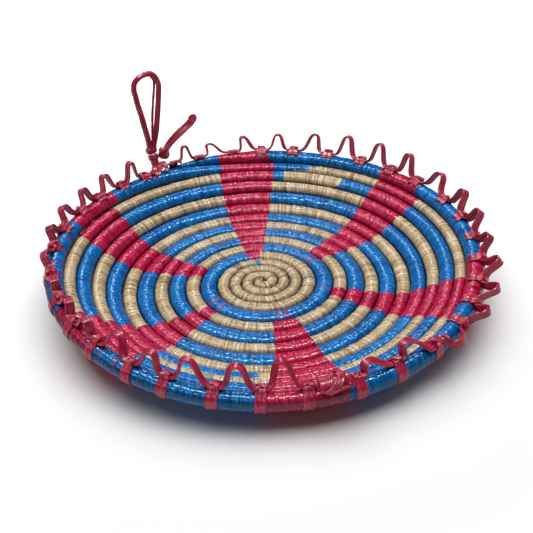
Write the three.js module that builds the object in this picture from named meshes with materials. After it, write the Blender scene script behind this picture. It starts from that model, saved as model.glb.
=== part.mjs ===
// Woven serving basket: one grass coil wound outward from the middle and wrapped in glossy raffia,
// with a looped raffia edging lashed along its rim and a hanging loop knotted to the rim.
// Millimetres, +Z up. The origin is on the table, under the middle of the basket's whole outline.
// Azimuths are about the coil's own axis, 0 is +X, and the coil winds anticlockwise seen from above.
import * as THREE from "three";

// The coil
const axisX = -4.95; // the loops reach further on one side, so the coil is a little off the origin
const axisY = -3.3;
const seamAzimuth = 92; // where the wrap changes colour, turn by turn
const centreRadius = 29.8; // outer edge of the tan middle at the seam
const centrePitch = 8.5;
const centreTurns = 3; // full turns inside the seam's radius
const turnPitch = 11.05;
const blueWiden = 0.85; // a blue turn is wider than the mean turn by this, and a tan one is narrower
const wallTurn = 8; // from this turn on, the wall's turns get finer
const pitchLoss = 1.0; // by this much each turn
const rimTurn = 11; // the last full turn, the thick one
const rimThickness = 12;
const rimTaperTurn = 0.095; // length of the thin end that lies along the outside of the rim, in turns
const rimTaperEnd = 3; // width of that end where it is tucked in
const coilThickness = 10.5;
const thinShare = 1.15; // where the coil is narrow, it is no thicker than this many times its width
const thinExtra = 2; // and this much more
const turnGap = 0.6; // between neighbouring turns
const seamGap = 0.3; // between one turn's wrap and the next
const colourShift = 0.08; // length of the change of width on each side of the seam, in turns

// The dish
const floorDome = 1.5; // degrees by which the floor falls from its middle, so it stands on a ring
const floorRadius = 77; // along the section, like the lengths below
const bendLength = 43; // in which the floor turns up into the wall
const wallAngle = 31;
const flareLength = 32; // in which the wall eases outward to the rim
const rimAngle = 13;
const restDepth = 1; // the underside is flattened this much where the basket stands
const rimTilt = 4.8; // the rim leans, as a coil that is sewn by hand does
const rimTiltAzimuth = 136; // its high side
const rimSaddle = 3.5;
const rimSaddleAzimuth = 8;
const warpRadius = 74; // the lean starts here
const warpPower = 1.5;

// The edging
const tieAzimuths = [
  129, 138, 148, 157, 168, 178, 191, 203, 214, 224, 236, 246, 258, 269, 280, 292, 303,
  315, 326, 335, 344, 353, 363, 373, 383, 396, 406, 417, 428, 439, 449, 458, 469, 477,
];
const tieClearance = 0.45; // also takes up the facets of the rim coil
const tieWidth = 8.4;
const tieThickness = 0.9;
const tieBand = 38; // widest step round the tie, in degrees
const tieMouth = 38; // underneath, the tie stops this far from where the rim meets the next turn
const tieTop = 122; // on top it is sewn into the coil here, in degrees round the section from outward
const tieShortest = 4; // a shorter end past the step over the strip is left out, in degrees
const tieHump = 26; // half the length of its step over the strip, in degrees
const tieSlack = 0.15; // more room under a tie, for the facets of its own band
const doubledTop = 96; // where the rim has two coils, the tie stops at its top and bottom
const doubledBottom = -84;
const stripWidth = 6;
const stripThickness = 2.4;
const stripMargin = 1; // of bare strip beside the ties at its ends
const clearance = 0.3;
const knotSlot = 14; // the slot where the ends of the strip are knotted instead of looped
const knotHeight = 7.4;
const knotWidth = 12.5;
const knotLean = 8; // outward from upright, in degrees
const knotEndShare = 0.66; // thickness of the knot's ends, of its middle
const knotFullness = 0.6; // less makes it fuller near its ends
const knotSteps = 8;

// The hanging loop
const hangerAzimuth = 123.5;
const hangerBandWidth = 7;
const hangerKnotRadius = 4;
const hangerKnotHeight = 9;
const hangerCord = 3.8;
const ballKnotRadius = 5;
const ballKnotRise = 6.3; // of its middle above the wrapped knot's foot
const tailCord = 4.6;

// One row for each loop of the edging, anticlockwise from the first tie: how far it leans outward
// from upright in degrees, its reach from the middle of the rim coil, and its sway along the rim.
const loopForms = [
  [16, 21, -2], [20, 20, 0], [22, 19, 0], [27, 18, 0], [23, 17, 1], [20, 15, 3], [0, 15, 4],
  [-7, 16, 3], [-6, 17, 2], [-18, 20, 1], [-9, 20, 2], [-11, 22, -2], [-14, 22, -1], [-23, 24, -1],
  [-10, 15, -6], [-10, 17, -7], [68, 15, -3], [63, 19, 0], [63, 19, 0], [50, 20, 0], [37, 18, 0],
  [32, 20, 0], [29, 21, 0], [31, 20, 0], [21, 23, 1], [21, 23, 1], [24, 23, 0], [28, 21, -2],
  [22, 19, 0], [24, 18, 3], [30, 16, 4], [24, 18, 0],
];
// Half of a loop's outline: share of the way from its middle to the tie, and share of its height.
const loopOutline = [
  [0, 1], [0.17, 0.96], [0.29, 0.8], [0.35, 0.42], [0.45, 0.09], [0.6, 0],
];
// The hanging loop's own outline, closed: along the rim and up from its lowest point.
const hangerOutline = [
  [0, 0], [2, 1.6], [2.6, 8], [3.9, 20], [6.9, 37], [8.9, 49], [9.9, 55], [9.4, 60.5], [6.9, 64.4],
  [2.2, 66.4], [-4.1, 65.8], [-8.9, 62.4], [-11, 57], [-11.1, 51], [-9.5, 42], [-6, 22], [-3.2, 8], [-2, 1.6],
];
const tailOutline = [[0, 0], [-4, 3.8], [-11, 7.6], [-18, 11], [-24, 15], [-28, 18]];
// The wrapped knot's outline: shares of its radius and its height.
const barrelOutline = [[0, 0], [0.7, 0], [0.95, 0.25], [1, 0.55], [0.9, 0.85], [0.75, 1], [0, 1]];

const coilSteps = 45; // facets in a turn
const centreSteps = 30;
const coilSides = 6;
const rimSides = 10;
const cordSides = 8;
const hangerSteps = 52;
const tailSteps = 14;
const knotSides = 12; // of the wrapped knot and the ball knot
const ballRows = 8;
const loopSteps = 6; // on each half of a loop
const gapStep = 1.5; // between the points at which a cord's gap to itself is measured

const tanWrap = new THREE.MeshStandardMaterial({ color: 0xcbb184, roughness: 0.45, metalness: 0 });
const blueWrap = new THREE.MeshStandardMaterial({ color: 0x0a62c0, roughness: 0.3, metalness: 0 });
const redRaffia = new THREE.MeshStandardMaterial({ color: 0xa5123f, roughness: 0.35, metalness: 0 });

const radians = THREE.MathUtils.degToRad;
const clamp = THREE.MathUtils.clamp;
const ease = (share) => THREE.MathUtils.smoothstep(share, 0, 1);
const basket = new THREE.Group();

function addPiece(name, geometry, material) {
  const mesh = new THREE.Mesh(geometry, material);
  mesh.name = name;
  basket.add(mesh);
  return mesh;
}

// A body through rings of points that all have the same count: capped, or closed into a loop.
function loft(rings, closed = false) {
  const count = rings[0].length;
  const points = rings.flat();
  const faces = [];
  for (let ring = 0; ring < rings.length - (closed ? 0 : 1); ring++) {
    const next = ((ring + 1) % rings.length) * count;
    for (let side = 0; side < count; side++) {
      const a = ring * count + side;
      const b = ring * count + ((side + 1) % count);
      const c = next + ((side + 1) % count);
      faces.push(a, b, c, a, c, next + side);
    }
  }
  const last = (rings.length - 1) * count;
  for (let side = 1; !closed && side + 1 < count; side++) {
    faces.push(0, side + 1, side, last, last + side, last + side + 1);
  }
  const geometry = new THREE.BufferGeometry().setFromPoints(points);
  geometry.setIndex(faces);
  geometry.computeVertexNormals();
  return geometry;
}

// The dish's section: radius and height along its length, from the middle outward.
const sectionStep = 0.5;
const sectionPoints = [{ radius: 0, height: 0 }];
const slopeAt = (along) =>
  (wallAngle + floorDome) * ease((along - floorRadius) / bendLength) -
  floorDome -
  (wallAngle - rimAngle) * ease((along - floorRadius - bendLength) / flareLength);
for (let along = sectionStep; along < 200; along += sectionStep) {
  const slope = radians(slopeAt(along - sectionStep / 2));
  const from = sectionPoints[sectionPoints.length - 1];
  sectionPoints.push({
    radius: from.radius + sectionStep * Math.cos(slope),
    height: from.height + sectionStep * Math.sin(slope),
  });
}

const lowest = Math.min(...sectionPoints.map(({ height }) => height));

function sectionAt(along) {
  const index = Math.floor(along / sectionStep);
  const share = along / sectionStep - index;
  const a = sectionPoints[index];
  const b = sectionPoints[index + 1];
  return {
    radius: a.radius + (b.radius - a.radius) * share,
    height: a.height + (b.height - a.height) * share,
  };
}

// Where the coil's outer edge lies along the section after so many turns from the seam.
function outerEdge(turn) {
  if (turn < 0) return Math.max(centreRadius + centrePitch * turn, 0);
  if (turn >= rimTurn) return outerEdge(turn - 1) + rimWidth(turn);
  const whole = Math.floor(turn);
  const share = turn - whole;
  const side = whole % 2 ? 1 : -1;
  const nearSeam = Math.min(share, 1 - share) / colourShift;
  const widen = (side * blueWiden * Math.min(nearSeam, 1)) / 2;
  const loss = (pitchLoss * Math.max(turn - wallTurn, 0) ** 2) / 2;
  return centreRadius + turnPitch * turn + widen - loss;
}

function rimWidth(turn) {
  const past = turn - rimTurn;
  if (past < 1) {
    const last = outerEdge(rimTurn - 1e-6) - outerEdge(rimTurn - 1);
    return last + (rimThickness - last) * ease(past / rimTaperTurn);
  }
  return rimThickness + (rimTaperEnd - rimThickness) * clamp((past - 1) / rimTaperTurn, 0, 1);
}

const rimReach = outerEdge(rimTurn + 0.5);
const rimCircle = sectionAt(rimReach).radius;

// A point of the dish's middle surface.
function dishPoint(along, azimuth, lift) {
  const { radius, height } = sectionAt(along);
  const rise = clamp((along - warpRadius) / (rimReach - warpRadius), 0, 2) ** warpPower;
  const tilt = rimTilt * Math.cos(radians(azimuth - rimTiltAzimuth));
  const saddle = rimSaddle * Math.cos(2 * radians(azimuth - rimSaddleAzimuth));
  const angle = radians(azimuth);
  return new THREE.Vector3(
    radius * Math.cos(angle),
    radius * Math.sin(angle),
    lift + height - lowest - restDepth + rise * (tilt + saddle),
  );
}

// The coil's own section at one place: its middle, half width and half thickness as vectors.
function coilSection(turn, sides) {
  const azimuth = seamAzimuth + 360 * turn;
  const inner = outerEdge(turn - 1) + turnGap / 2;
  const outer = outerEdge(turn) - turnGap / 2;
  const full = turn >= rimTurn ? rimThickness : coilThickness;
  const grown = turn >= rimTurn ? ease((turn - rimTurn) / rimTaperTurn) : 1;
  const thickness = Math.min(
    coilThickness + (full - coilThickness) * grown,
    thinShare * (outer - inner) + thinExtra,
  );
  const lift = Math.min(thickness, coilThickness) / 2;
  const a = dishPoint(inner, azimuth, lift);
  const b = dishPoint(outer, azimuth, lift);
  const middle = a.clone().add(b).multiplyScalar(0.5);
  const across = b.clone().sub(a).multiplyScalar(0.5);
  const along = new THREE.Vector3(-Math.sin(radians(azimuth)), Math.cos(radians(azimuth)), 0);
  const flat = Math.cos(Math.PI / sides); // the section is flat on top and underneath
  const up = across.clone().cross(along).setLength(thickness / 2 / flat);
  return { middle, across, up };
}

function coilRing(turn, sides) {
  const { middle, across, up } = coilSection(turn, sides);
  return Array.from({ length: sides }, (_, side) => {
    const angle = (-2 * Math.PI * side) / sides;
    const point = middle
      .clone()
      .addScaledVector(across, Math.cos(angle))
      .addScaledVector(up, Math.sin(angle));
    return point.setZ(Math.max(point.z, 0));
  });
}

// A stretch of the coil, with a little gap to the stretches before and after it.
function coilStretch(from, to, steps, sides) {
  const trim = (turn) => seamGap / 2 / (2 * Math.PI * Math.max(outerEdge(turn), centrePitch));
  const turns = [from + trim(from)];
  for (let step = Math.ceil(from * steps) + 1; step < Math.ceil(to * steps - 1e-6); step++) {
    turns.push(step / steps);
  }
  turns.push(to - trim(to));
  return loft(turns.map((turn) => coilRing(turn, sides)));
}

addPiece("centre_coil", coilStretch(-centreTurns, 1, centreSteps, coilSides), tanWrap);
for (let turn = 1; turn < rimTurn; turn++) {
  const blue = turn % 2 === 1;
  const name = `turn_${String(turn).padStart(2, "0")}_${blue ? "blue" : "tan"}`;
  addPiece(name, coilStretch(turn, turn + 1, coilSteps, coilSides), blue ? blueWrap : tanWrap);
}
addPiece(
  "rim_coil",
  coilStretch(rimTurn, rimTurn + 1 + rimTaperTurn, coilSteps, rimSides),
  blueWrap,
);

// The least gap between neighbouring turns, measured on points along their facing edges.
let leastGap = Infinity;
for (let turn = 0; turn < rimTurn; turn += 0.01) {
  const here = coilSection(turn, coilSides);
  const next = coilSection(turn + 1, turn + 1 < rimTurn ? coilSides : rimSides);
  const outer = here.middle.clone().add(here.across);
  const inner = next.middle.clone().sub(next.across);
  leastGap = Math.min(leastGap, outer.distanceTo(inner));
}
console.log(`least gap between turns ${leastGap.toFixed(2)} mm`);

// The middle of the outermost coil of the rim, and the way out from the axis, at an azimuth.
// The places between two facets of the coil lie on its straight facet.
const pastSeam = (azimuth) => ((((azimuth - seamAzimuth) % 360) + 360) % 360) / 360;
const atRimEnd = (azimuth) => pastSeam(azimuth) < rimTaperTurn;

function rimPoint(turn) {
  const azimuth = seamAzimuth + 360 * turn;
  const outer = outerEdge(turn) - turnGap / 2;
  const edge = dishPoint(outer, azimuth, coilThickness / 2);
  const inward = dishPoint(outer - rimThickness, azimuth, coilThickness / 2).sub(edge);
  return edge.addScaledVector(inward.normalize(), (rimThickness - turnGap) / 2);
}

function rimFrame(azimuth) {
  const turn = rimTurn + pastSeam(azimuth) + (atRimEnd(azimuth) ? 1 : 0);
  const step = Math.floor(turn * coilSteps);
  const from = rimPoint(step / coilSteps);
  const middle = from.lerp(rimPoint((step + 1) / coilSteps), turn * coilSteps - step);
  const angle = radians(azimuth);
  const out = new THREE.Vector3(Math.cos(angle), Math.sin(angle), 0);
  const along = new THREE.Vector3(-Math.sin(angle), Math.cos(angle), 0);
  return { middle, out, along };
}

const up = new THREE.Vector3(0, 0, 1);
const rimRadius = rimThickness / 2;
const stripSeat = rimRadius + tieClearance + stripThickness / 2; // rim middle to strip middle

const slotForms = [...loopForms];
slotForms.splice(knotSlot, 0, null);
const leanOf = (slot) => (slotForms[slot] ? slotForms[slot][0] : -10);
const tieLean = (tie) => {
  const before = leanOf(Math.max(tie - 1, 0));
  const after = leanOf(Math.min(tie, slotForms.length - 1));
  return (before + after) / 2;
};

// A band round the rim coil and the strip that lies on it. It stays out of the valley between
// the rim and the next turn: on top it ends where it is sewn into the coil, or at the top of
// the section where the rim has two coils.
function tieGeometry(azimuth, lean, width) {
  const seat = 90 - lean; // where the strip lies, round the section from straight outward
  const doubled = atRimEnd(azimuth);
  const top = Math.max(seat + tieHump, doubled ? doubledTop : tieTop);
  const bottom = doubled ? doubledBottom : rimAngle + tieMouth - 180;
  const overStrip = stripSeat + stripThickness / 2 + clearance + tieSlack;
  const plain = (rimRadius + clearance + tieSlack) / Math.cos(radians(tieBand / 2));
  const stops = [];
  const fill = (from, to) => {
    const count = Math.max(Math.ceil((to - from) / tieBand), 1);
    for (let index = 0; index < count; index++) stops.push([from + ((to - from) * index) / count, plain]);
  };
  fill(bottom, seat - tieHump);
  for (const side of [-1, 1]) {
    stops.push([seat + side * tieHump, overStrip / Math.cos(radians(tieHump))]);
  }
  const past = top - seat - tieHump;
  const count = past > tieShortest ? Math.ceil(past / tieBand) : 0;
  for (let index = 1; index <= count; index++) {
    stops.push([seat + tieHump + (past * index) / count, plain]);
  }
  const { middle, out, along } = rimFrame(azimuth);
  const ring = ([angle, reach]) => {
    const way = out
      .clone()
      .multiplyScalar(Math.cos(radians(angle)))
      .addScaledVector(up, Math.sin(radians(angle)));
    const corner = (side, depth) =>
      middle.clone().addScaledVector(way, reach + depth).addScaledVector(along, (side * width) / 2);
    return [corner(-1, 0), corner(-1, tieThickness), corner(1, tieThickness), corner(1, 0)];
  };
  return loft(stops.map(ring));
}

tieAzimuths.forEach((azimuth, tie) => {
  const name = `rim_tie_${String(tie + 1).padStart(2, "0")}`;
  addPiece(name, tieGeometry(azimuth % 360, tieLean(tie), tieWidth), redRaffia);
});

// The edging strip: flat on the rim under each tie, and up into a loop between two ties.
const halfOutline = new THREE.SplineCurve(loopOutline.map(([x, y]) => new THREE.Vector2(x, y)));
function stripStation(azimuth, reach, lean) {
  const { middle, out } = rimFrame(azimuth);
  const rise = out
    .clone()
    .multiplyScalar(Math.sin(radians(lean)))
    .addScaledVector(up, Math.cos(radians(lean)));
  const across = out
    .clone()
    .multiplyScalar(Math.cos(radians(lean)))
    .addScaledVector(up, -Math.sin(radians(lean)));
  return { point: middle.addScaledVector(rise, reach), across };
}

function loopStations(slot) {
  const [lean, reach, sway] = slotForms[slot];
  const [from, to] = tieAzimuths.slice(slot, slot + 2);
  const middle = (from + to) / 2;
  const stations = [];
  for (let index = -loopSteps; index <= loopSteps; index++) {
    const { x, y } = halfOutline.getPoint(Math.abs(index) / loopSteps);
    const side = Math.sign(index) * x;
    const ramp = ease((x - 0.4) / 0.2);
    const tieSide = tieLean(index < 0 ? slot : slot + 1);
    const swayAngle = THREE.MathUtils.radToDeg((sway * y) / rimCircle);
    const azimuth = middle + (side * (to - from)) / 2 + swayAngle;
    const height = Math.max(stripSeat + (reach - stripSeat) * y, stripSeat);
    stations.push(stripStation(azimuth, height, lean + (tieSide - lean) * ramp));
  }
  return stations;
}

function stripLoft(stations) {
  return loft(
    stations.map(({ point, across }, index) => {
      const before = stations[Math.max(index - 1, 0)].point;
      const after = stations[Math.min(index + 1, stations.length - 1)].point;
      const tangent = after.clone().sub(before).normalize();
      const side = across.clone().addScaledVector(tangent, -across.dot(tangent)).normalize();
      const thick = tangent.clone().cross(side);
      const corner = (w, t) =>
        point
          .clone()
          .addScaledVector(side, (w * stripWidth) / 2)
          .addScaledVector(thick, (t * stripThickness) / 2);
      return [corner(-1, -1), corner(1, -1), corner(1, 1), corner(-1, 1)];
    }),
  );
}

const flatStation = (azimuth, tie) => stripStation(azimuth, stripSeat, tieLean(tie));
const tieHalfAngle = THREE.MathUtils.radToDeg((tieWidth / 2 + stripMargin) / rimCircle);
const stations = [flatStation(tieAzimuths[knotSlot + 1] - tieHalfAngle, knotSlot + 1)];
const slots = slotForms.length;
for (let count = 1; count < slots; count++) {
  const slot = (knotSlot + count) % slots;
  if (slot === 0) {
    const last = tieAzimuths[slots];
    const first = tieAzimuths[0] + 360;
    for (const at of [last, last + (first - last) / 2]) stations.push(flatStation(at, slots));
    for (const at of [first - 1.2 * tieHalfAngle, first]) stations.push(flatStation(at, 0));
  }
  stations.push(...loopStations(slot));
}
stations.push(flatStation(tieAzimuths[knotSlot] + tieHalfAngle, knotSlot));
addPiece("edging_strip", stripLoft(stations), redRaffia);

// The knot of the strip's two ends: a lump that swells between its ends, lying on the rim.
const knotFrom = tieAzimuths[knotSlot] + tieHalfAngle;
const knotTo = tieAzimuths[knotSlot + 1] - tieHalfAngle;
const endGap = THREE.MathUtils.radToDeg(clearance / rimCircle);
const knotRings = [];
for (let step = 0; step <= knotSteps; step++) {
  const share = step / knotSteps;
  const swell = knotEndShare + (1 - knotEndShare) * Math.sin(Math.PI * share) ** knotFullness;
  const azimuth = knotFrom + endGap + (knotTo - knotFrom - 2 * endGap) * share;
  const { middle, out } = rimFrame(azimuth);
  const rise = out
    .clone()
    .multiplyScalar(Math.sin(radians(knotLean)))
    .addScaledVector(up, Math.cos(radians(knotLean)));
  const side = out
    .clone()
    .multiplyScalar(Math.cos(radians(knotLean)))
    .addScaledVector(up, -Math.sin(radians(knotLean)));
  const ring = [];
  for (let corner = 0; corner < cordSides; corner++) {
    const angle = (2 * Math.PI * (corner + 0.5)) / cordSides;
    const height = (knotHeight * swell) / 2;
    ring.push(
      middle
        .clone()
        .addScaledVector(rise, rimRadius + tieClearance + height + height * Math.sin(angle))
        .addScaledVector(side, (knotWidth / 2) * swell * Math.cos(angle)),
    );
  }
  knotRings.push(ring.reverse());
}
addPiece("edging_end_knot", loft(knotRings), redRaffia);

// The hanging loop: a band round the rim, a wrapped knot on it, the loop, a ball knot and its tail.
const hangerLean = leanOf(slots - 1);
addPiece("hanger_band", tieGeometry(hangerAzimuth, hangerLean, hangerBandWidth), redRaffia);
const hanger = rimFrame(hangerAzimuth);
const hangerRise = hanger.out
  .clone()
  .multiplyScalar(Math.sin(radians(hangerLean)))
  .addScaledVector(up, Math.cos(radians(hangerLean)));
const bandTop = stripSeat + stripThickness / 2 + clearance + tieThickness;

function barrel(radius, height) {
  const lathe = new THREE.LatheGeometry(
    barrelOutline.map(([r, h]) => new THREE.Vector2(r * radius, h * height)),
    knotSides,
  );
  return lathe.rotateX(Math.PI / 2);
}

const knotTurn = new THREE.Quaternion().setFromUnitVectors(up, hangerRise);
const knotMesh = addPiece("hanger_knot", barrel(hangerKnotRadius, hangerKnotHeight), redRaffia);
knotMesh.position.copy(hanger.middle).addScaledVector(hangerRise, bandTop + clearance);
knotMesh.quaternion.copy(knotTurn);

const knotTop = bandTop + clearance + hangerKnotHeight;
const pivot = hanger.middle
  .clone()
  .addScaledVector(hangerRise, knotTop + tieClearance + hangerCord / 2);
console.log(`hanging loop turns about ${pivot.toArray().map((v) => v.toFixed(2))} along the rim`);

// A round cord along points; closed into a ring, or capped at both ends.
function cordAlong(points, diameter, steps, closed = false) {
  const path = new THREE.CatmullRomCurve3(points, closed);
  const frames = path.computeFrenetFrames(steps, closed);
  const rings = Array.from({ length: closed ? steps : steps + 1 }, (_, step) =>
    Array.from({ length: cordSides }, (__, side) => {
      const angle = (2 * Math.PI * side) / cordSides;
      return path
        .getPointAt(step / steps)
        .addScaledVector(frames.normals[step], (diameter / 2) * Math.cos(angle))
        .addScaledVector(frames.binormals[step], (diameter / 2) * Math.sin(angle));
    }),
  );
  return loft(rings, closed);
}

// The least gap of a cord or strip to itself, on points that are further apart along it than `apart`.
function leastSelfGap(points, thickness, apart, closed = false) {
  const path = new THREE.CatmullRomCurve3(points, closed);
  const length = path.getLength();
  const spots = path.getSpacedPoints(Math.round(length / gapStep));
  let least = Infinity;
  for (let i = 0; i < spots.length; i++) {
    for (let j = i + 1; j < spots.length; j++) {
      const way = ((j - i) / (spots.length - 1)) * length;
      if (Math.min(way, closed ? length - way : way) < apart) continue;
      least = Math.min(least, spots[i].distanceTo(spots[j]));
    }
  }
  return least - thickness;
}

const atHanger = (base, [along, rise]) =>
  base.clone().addScaledVector(hanger.along, along).addScaledVector(up, rise);
const hangerPoints = hangerOutline.map((at) => atHanger(pivot, at));
addPiece("hanging_loop", cordAlong(hangerPoints, hangerCord, hangerSteps, true), redRaffia);
const hangerGap = leastSelfGap(hangerPoints, hangerCord, 4 * hangerCord, true);
const stripGap = leastSelfGap(stations.map(({ point }) => point), stripThickness, 2 * stripWidth);
console.log(`least gap of the hanging loop to itself ${hangerGap.toFixed(2)} mm`);
console.log(`least gap of the edging strip to itself ${stripGap.toFixed(2)} mm`);

const ballSide = hangerKnotRadius + ballKnotRadius + clearance;
const ball = addPiece("ball_knot", new THREE.SphereGeometry(ballKnotRadius, knotSides, ballRows), redRaffia);
ball.position
  .copy(knotMesh.position)
  .addScaledVector(hangerRise, ballKnotRise)
  .addScaledVector(hanger.along, -ballSide);
const tailWay = new THREE.Vector2(...tailOutline[1]).setLength(ballKnotRadius + clearance);
const tailRoot = atHanger(ball.position, tailWay.toArray());
addPiece("knot_tail", cordAlong(tailOutline.map((at) => atHanger(tailRoot, at)), tailCord, tailSteps), redRaffia);

basket.position.set(axisX, axisY, 0);

export default basket;
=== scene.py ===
# Woven serving basket: a raffia-wrapped coil, its looped edging and its hanging loop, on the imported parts.
# Sizes are millimetres about the coil's own axis until RaffiaParts.build() puts them in the frame.
import bpy
import math
import numpy as np
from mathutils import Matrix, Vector


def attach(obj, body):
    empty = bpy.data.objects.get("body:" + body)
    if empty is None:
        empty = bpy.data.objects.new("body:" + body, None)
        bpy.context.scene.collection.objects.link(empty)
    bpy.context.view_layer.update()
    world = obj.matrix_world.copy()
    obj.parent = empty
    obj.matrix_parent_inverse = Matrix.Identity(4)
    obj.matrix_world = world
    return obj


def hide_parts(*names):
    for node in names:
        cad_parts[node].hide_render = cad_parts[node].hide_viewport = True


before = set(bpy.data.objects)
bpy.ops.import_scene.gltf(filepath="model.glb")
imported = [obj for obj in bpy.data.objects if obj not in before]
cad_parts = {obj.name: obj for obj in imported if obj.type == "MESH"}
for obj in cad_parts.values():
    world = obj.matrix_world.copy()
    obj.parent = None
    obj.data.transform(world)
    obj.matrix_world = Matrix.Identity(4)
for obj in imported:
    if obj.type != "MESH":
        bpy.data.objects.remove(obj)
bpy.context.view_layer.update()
print("frame loaded:", len(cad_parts), "nodes")

# Camera
camera = {
    "location": (-0.00185, -0.58502, 0.40265),
    "turn": (56.55, 1.753, -1.158),  # degrees
    "lens": 67.54, "sensor": 36.0, "nearest": 0.01, "furthest": 20.0,
}
cameraData = bpy.data.cameras.new("photoCamera")
cameraData.lens = camera["lens"]
cameraData.sensor_width = camera["sensor"]
cameraData.sensor_fit = "HORIZONTAL"
cameraData.clip_start = camera["nearest"]
cameraData.clip_end = camera["furthest"]
cameraObject = bpy.data.objects.new("photoCamera", cameraData)
cameraObject.location = camera["location"]
cameraObject.rotation_euler = [math.radians(angle) for angle in camera["turn"]]
bpy.context.scene.collection.objects.link(cameraObject)
bpy.context.scene.camera = cameraObject

# The coil and the dish, with the same values as the solids
axisPlace = np.array([-4.95, -3.3, 0.0])  # where the coil's axis stands in the frame
coil = {
    "seamAzimuth": 92.0, "centreRadius": 29.8, "centrePitch": 8.5, "centreTurns": 3, "turnPitch": 11.05,
    "blueWiden": 0.85, "wallTurn": 8, "pitchLoss": 1.0, "rimTurn": 11, "rimThickness": 12.0,
    "rimTaperTurn": 0.095, "rimTaperEnd": 3.0, "thickness": 10.5, "turnGap": 0.6, "colourShift": 0.08,
}
dish = {
    "floorDome": 1.5, "floorRadius": 77.0, "bendLength": 43.0, "wallAngle": 31.0, "flareLength": 32.0,
    "rimAngle": 13.0, "restDepth": 1.0, "rimTilt": 4.8, "rimTiltAzimuth": 136.0, "rimSaddle": 3.5,
    "rimSaddleAzimuth": 8.0, "warpRadius": 74.0, "warpPower": 1.5,
}


def ease(share):
    share = np.clip(share, 0.0, 1.0)
    return share * share * (3.0 - 2.0 * share)


def unit(vectors):
    return vectors / np.linalg.norm(vectors, axis=-1, keepdims=True)


def spreadOut(vectors, shares):
    return vectors * shares[..., None]


def azimuthAt(turn):
    return coil["seamAzimuth"] + 360.0 * turn


def turnPast(azimuth):
    # Share of a turn from the seam to this azimuth.
    return ((azimuth - coil["seamAzimuth"]) % 360.0) / 360.0


# The dish's section from its middle outward: length along it, radius and height
sectionStep = 0.5
sectionLength = np.arange(0.0, 200.0, sectionStep)
sectionMiddle = sectionLength[:-1] + sectionStep / 2.0
bend = ease((sectionMiddle - dish["floorRadius"]) / dish["bendLength"])
flare = ease((sectionMiddle - dish["floorRadius"] - dish["bendLength"]) / dish["flareLength"])
sectionSlope = np.radians(
    (dish["wallAngle"] + dish["floorDome"]) * bend
    - dish["floorDome"]
    - (dish["wallAngle"] - dish["rimAngle"]) * flare
)
sectionRadius = np.concatenate([[0.0], np.cumsum(sectionStep * np.cos(sectionSlope))])
sectionHeight = np.concatenate([[0.0], np.cumsum(sectionStep * np.sin(sectionSlope))])


def plainEdge(turn):
    # Length along the section to the outer edge of the coil, without the thicker rim turn.
    whole = np.floor(turn)
    share = turn - whole
    side = np.where(whole % 2 == 1, 1.0, -1.0)  # blue turns are wider than tan ones
    nearSeam = np.minimum(np.minimum(share, 1.0 - share) / coil["colourShift"], 1.0)
    widened = side * coil["blueWiden"] * nearSeam / 2.0
    loss = coil["pitchLoss"] * np.maximum(turn - coil["wallTurn"], 0.0) ** 2 / 2.0
    edge = coil["centreRadius"] + coil["turnPitch"] * turn + widened - loss
    centreEdge = np.maximum(coil["centreRadius"] + coil["centrePitch"] * turn, 0.0)
    return np.where(turn < 0, centreEdge, edge)


lastWidth = float(plainEdge(np.array(coil["rimTurn"] - 1e-6)) - plainEdge(np.array(coil["rimTurn"] - 1.0)))


def rimWidth(turn):
    past = turn - coil["rimTurn"]
    first = lastWidth + (coil["rimThickness"] - lastWidth) * ease(past / coil["rimTaperTurn"])
    taper = np.clip((past - 1.0) / coil["rimTaperTurn"], 0.0, 1.0)
    tapered = coil["rimThickness"] + (coil["rimTaperEnd"] - coil["rimThickness"]) * taper
    return np.where(past < 1, first, tapered)


def outerEdge(turn):
    turn = np.asarray(turn, float)
    once = plainEdge(turn - 1) + rimWidth(turn)
    twice = plainEdge(turn - 2) + rimWidth(turn - 1) + rimWidth(turn)
    onRim = np.where(turn < coil["rimTurn"] + 1, once, twice)
    return np.where(turn < coil["rimTurn"], plainEdge(turn), onRim)


rimReach = float(outerEdge(coil["rimTurn"] + 0.5))
rimCircle = float(np.interp(rimReach, sectionLength, sectionRadius))


def dishPoint(along, azimuth, lift):
    # A point lifted over the dish, whose outer part is tilted and bent like a saddle.
    radius = np.interp(along, sectionLength, sectionRadius)
    height = np.interp(along, sectionLength, sectionHeight) - sectionHeight.min() - dish["restDepth"]
    outward = np.clip((along - dish["warpRadius"]) / (rimReach - dish["warpRadius"]), 0.0, 2.0)
    tilt = dish["rimTilt"] * np.cos(np.radians(azimuth - dish["rimTiltAzimuth"]))
    saddle = dish["rimSaddle"] * np.cos(2.0 * np.radians(azimuth - dish["rimSaddleAzimuth"]))
    up = lift + height + outward ** dish["warpPower"] * (tilt + saddle)
    angle = np.radians(azimuth)
    return np.stack([radius * np.cos(angle), radius * np.sin(angle), up], -1)


def splineThrough(points, samples, closed=False):
    # Catmull-Rom, so many samples for each span
    points = np.asarray(points, float)
    count = len(points)
    spans = count if closed else count - 1
    out = []
    for span in range(spans):
        if closed:
            p0, p1, p2, p3 = (points[(span + k) % count] for k in (-1, 0, 1, 2))
        else:
            p0, p1 = points[max(span - 1, 0)], points[span]
            p2, p3 = points[span + 1], points[min(span + 2, count - 1)]
        for t in np.arange(samples) / samples:
            out.append(0.5 * (2 * p1 + (p2 - p0) * t + (2 * p0 - 5 * p1 + 4 * p2 - p3) * t * t
                              + (3 * p1 - p0 - 3 * p2 + p3) * t ** 3))
    if not closed:
        out.append(points[-1])
    return np.array(out)


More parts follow.
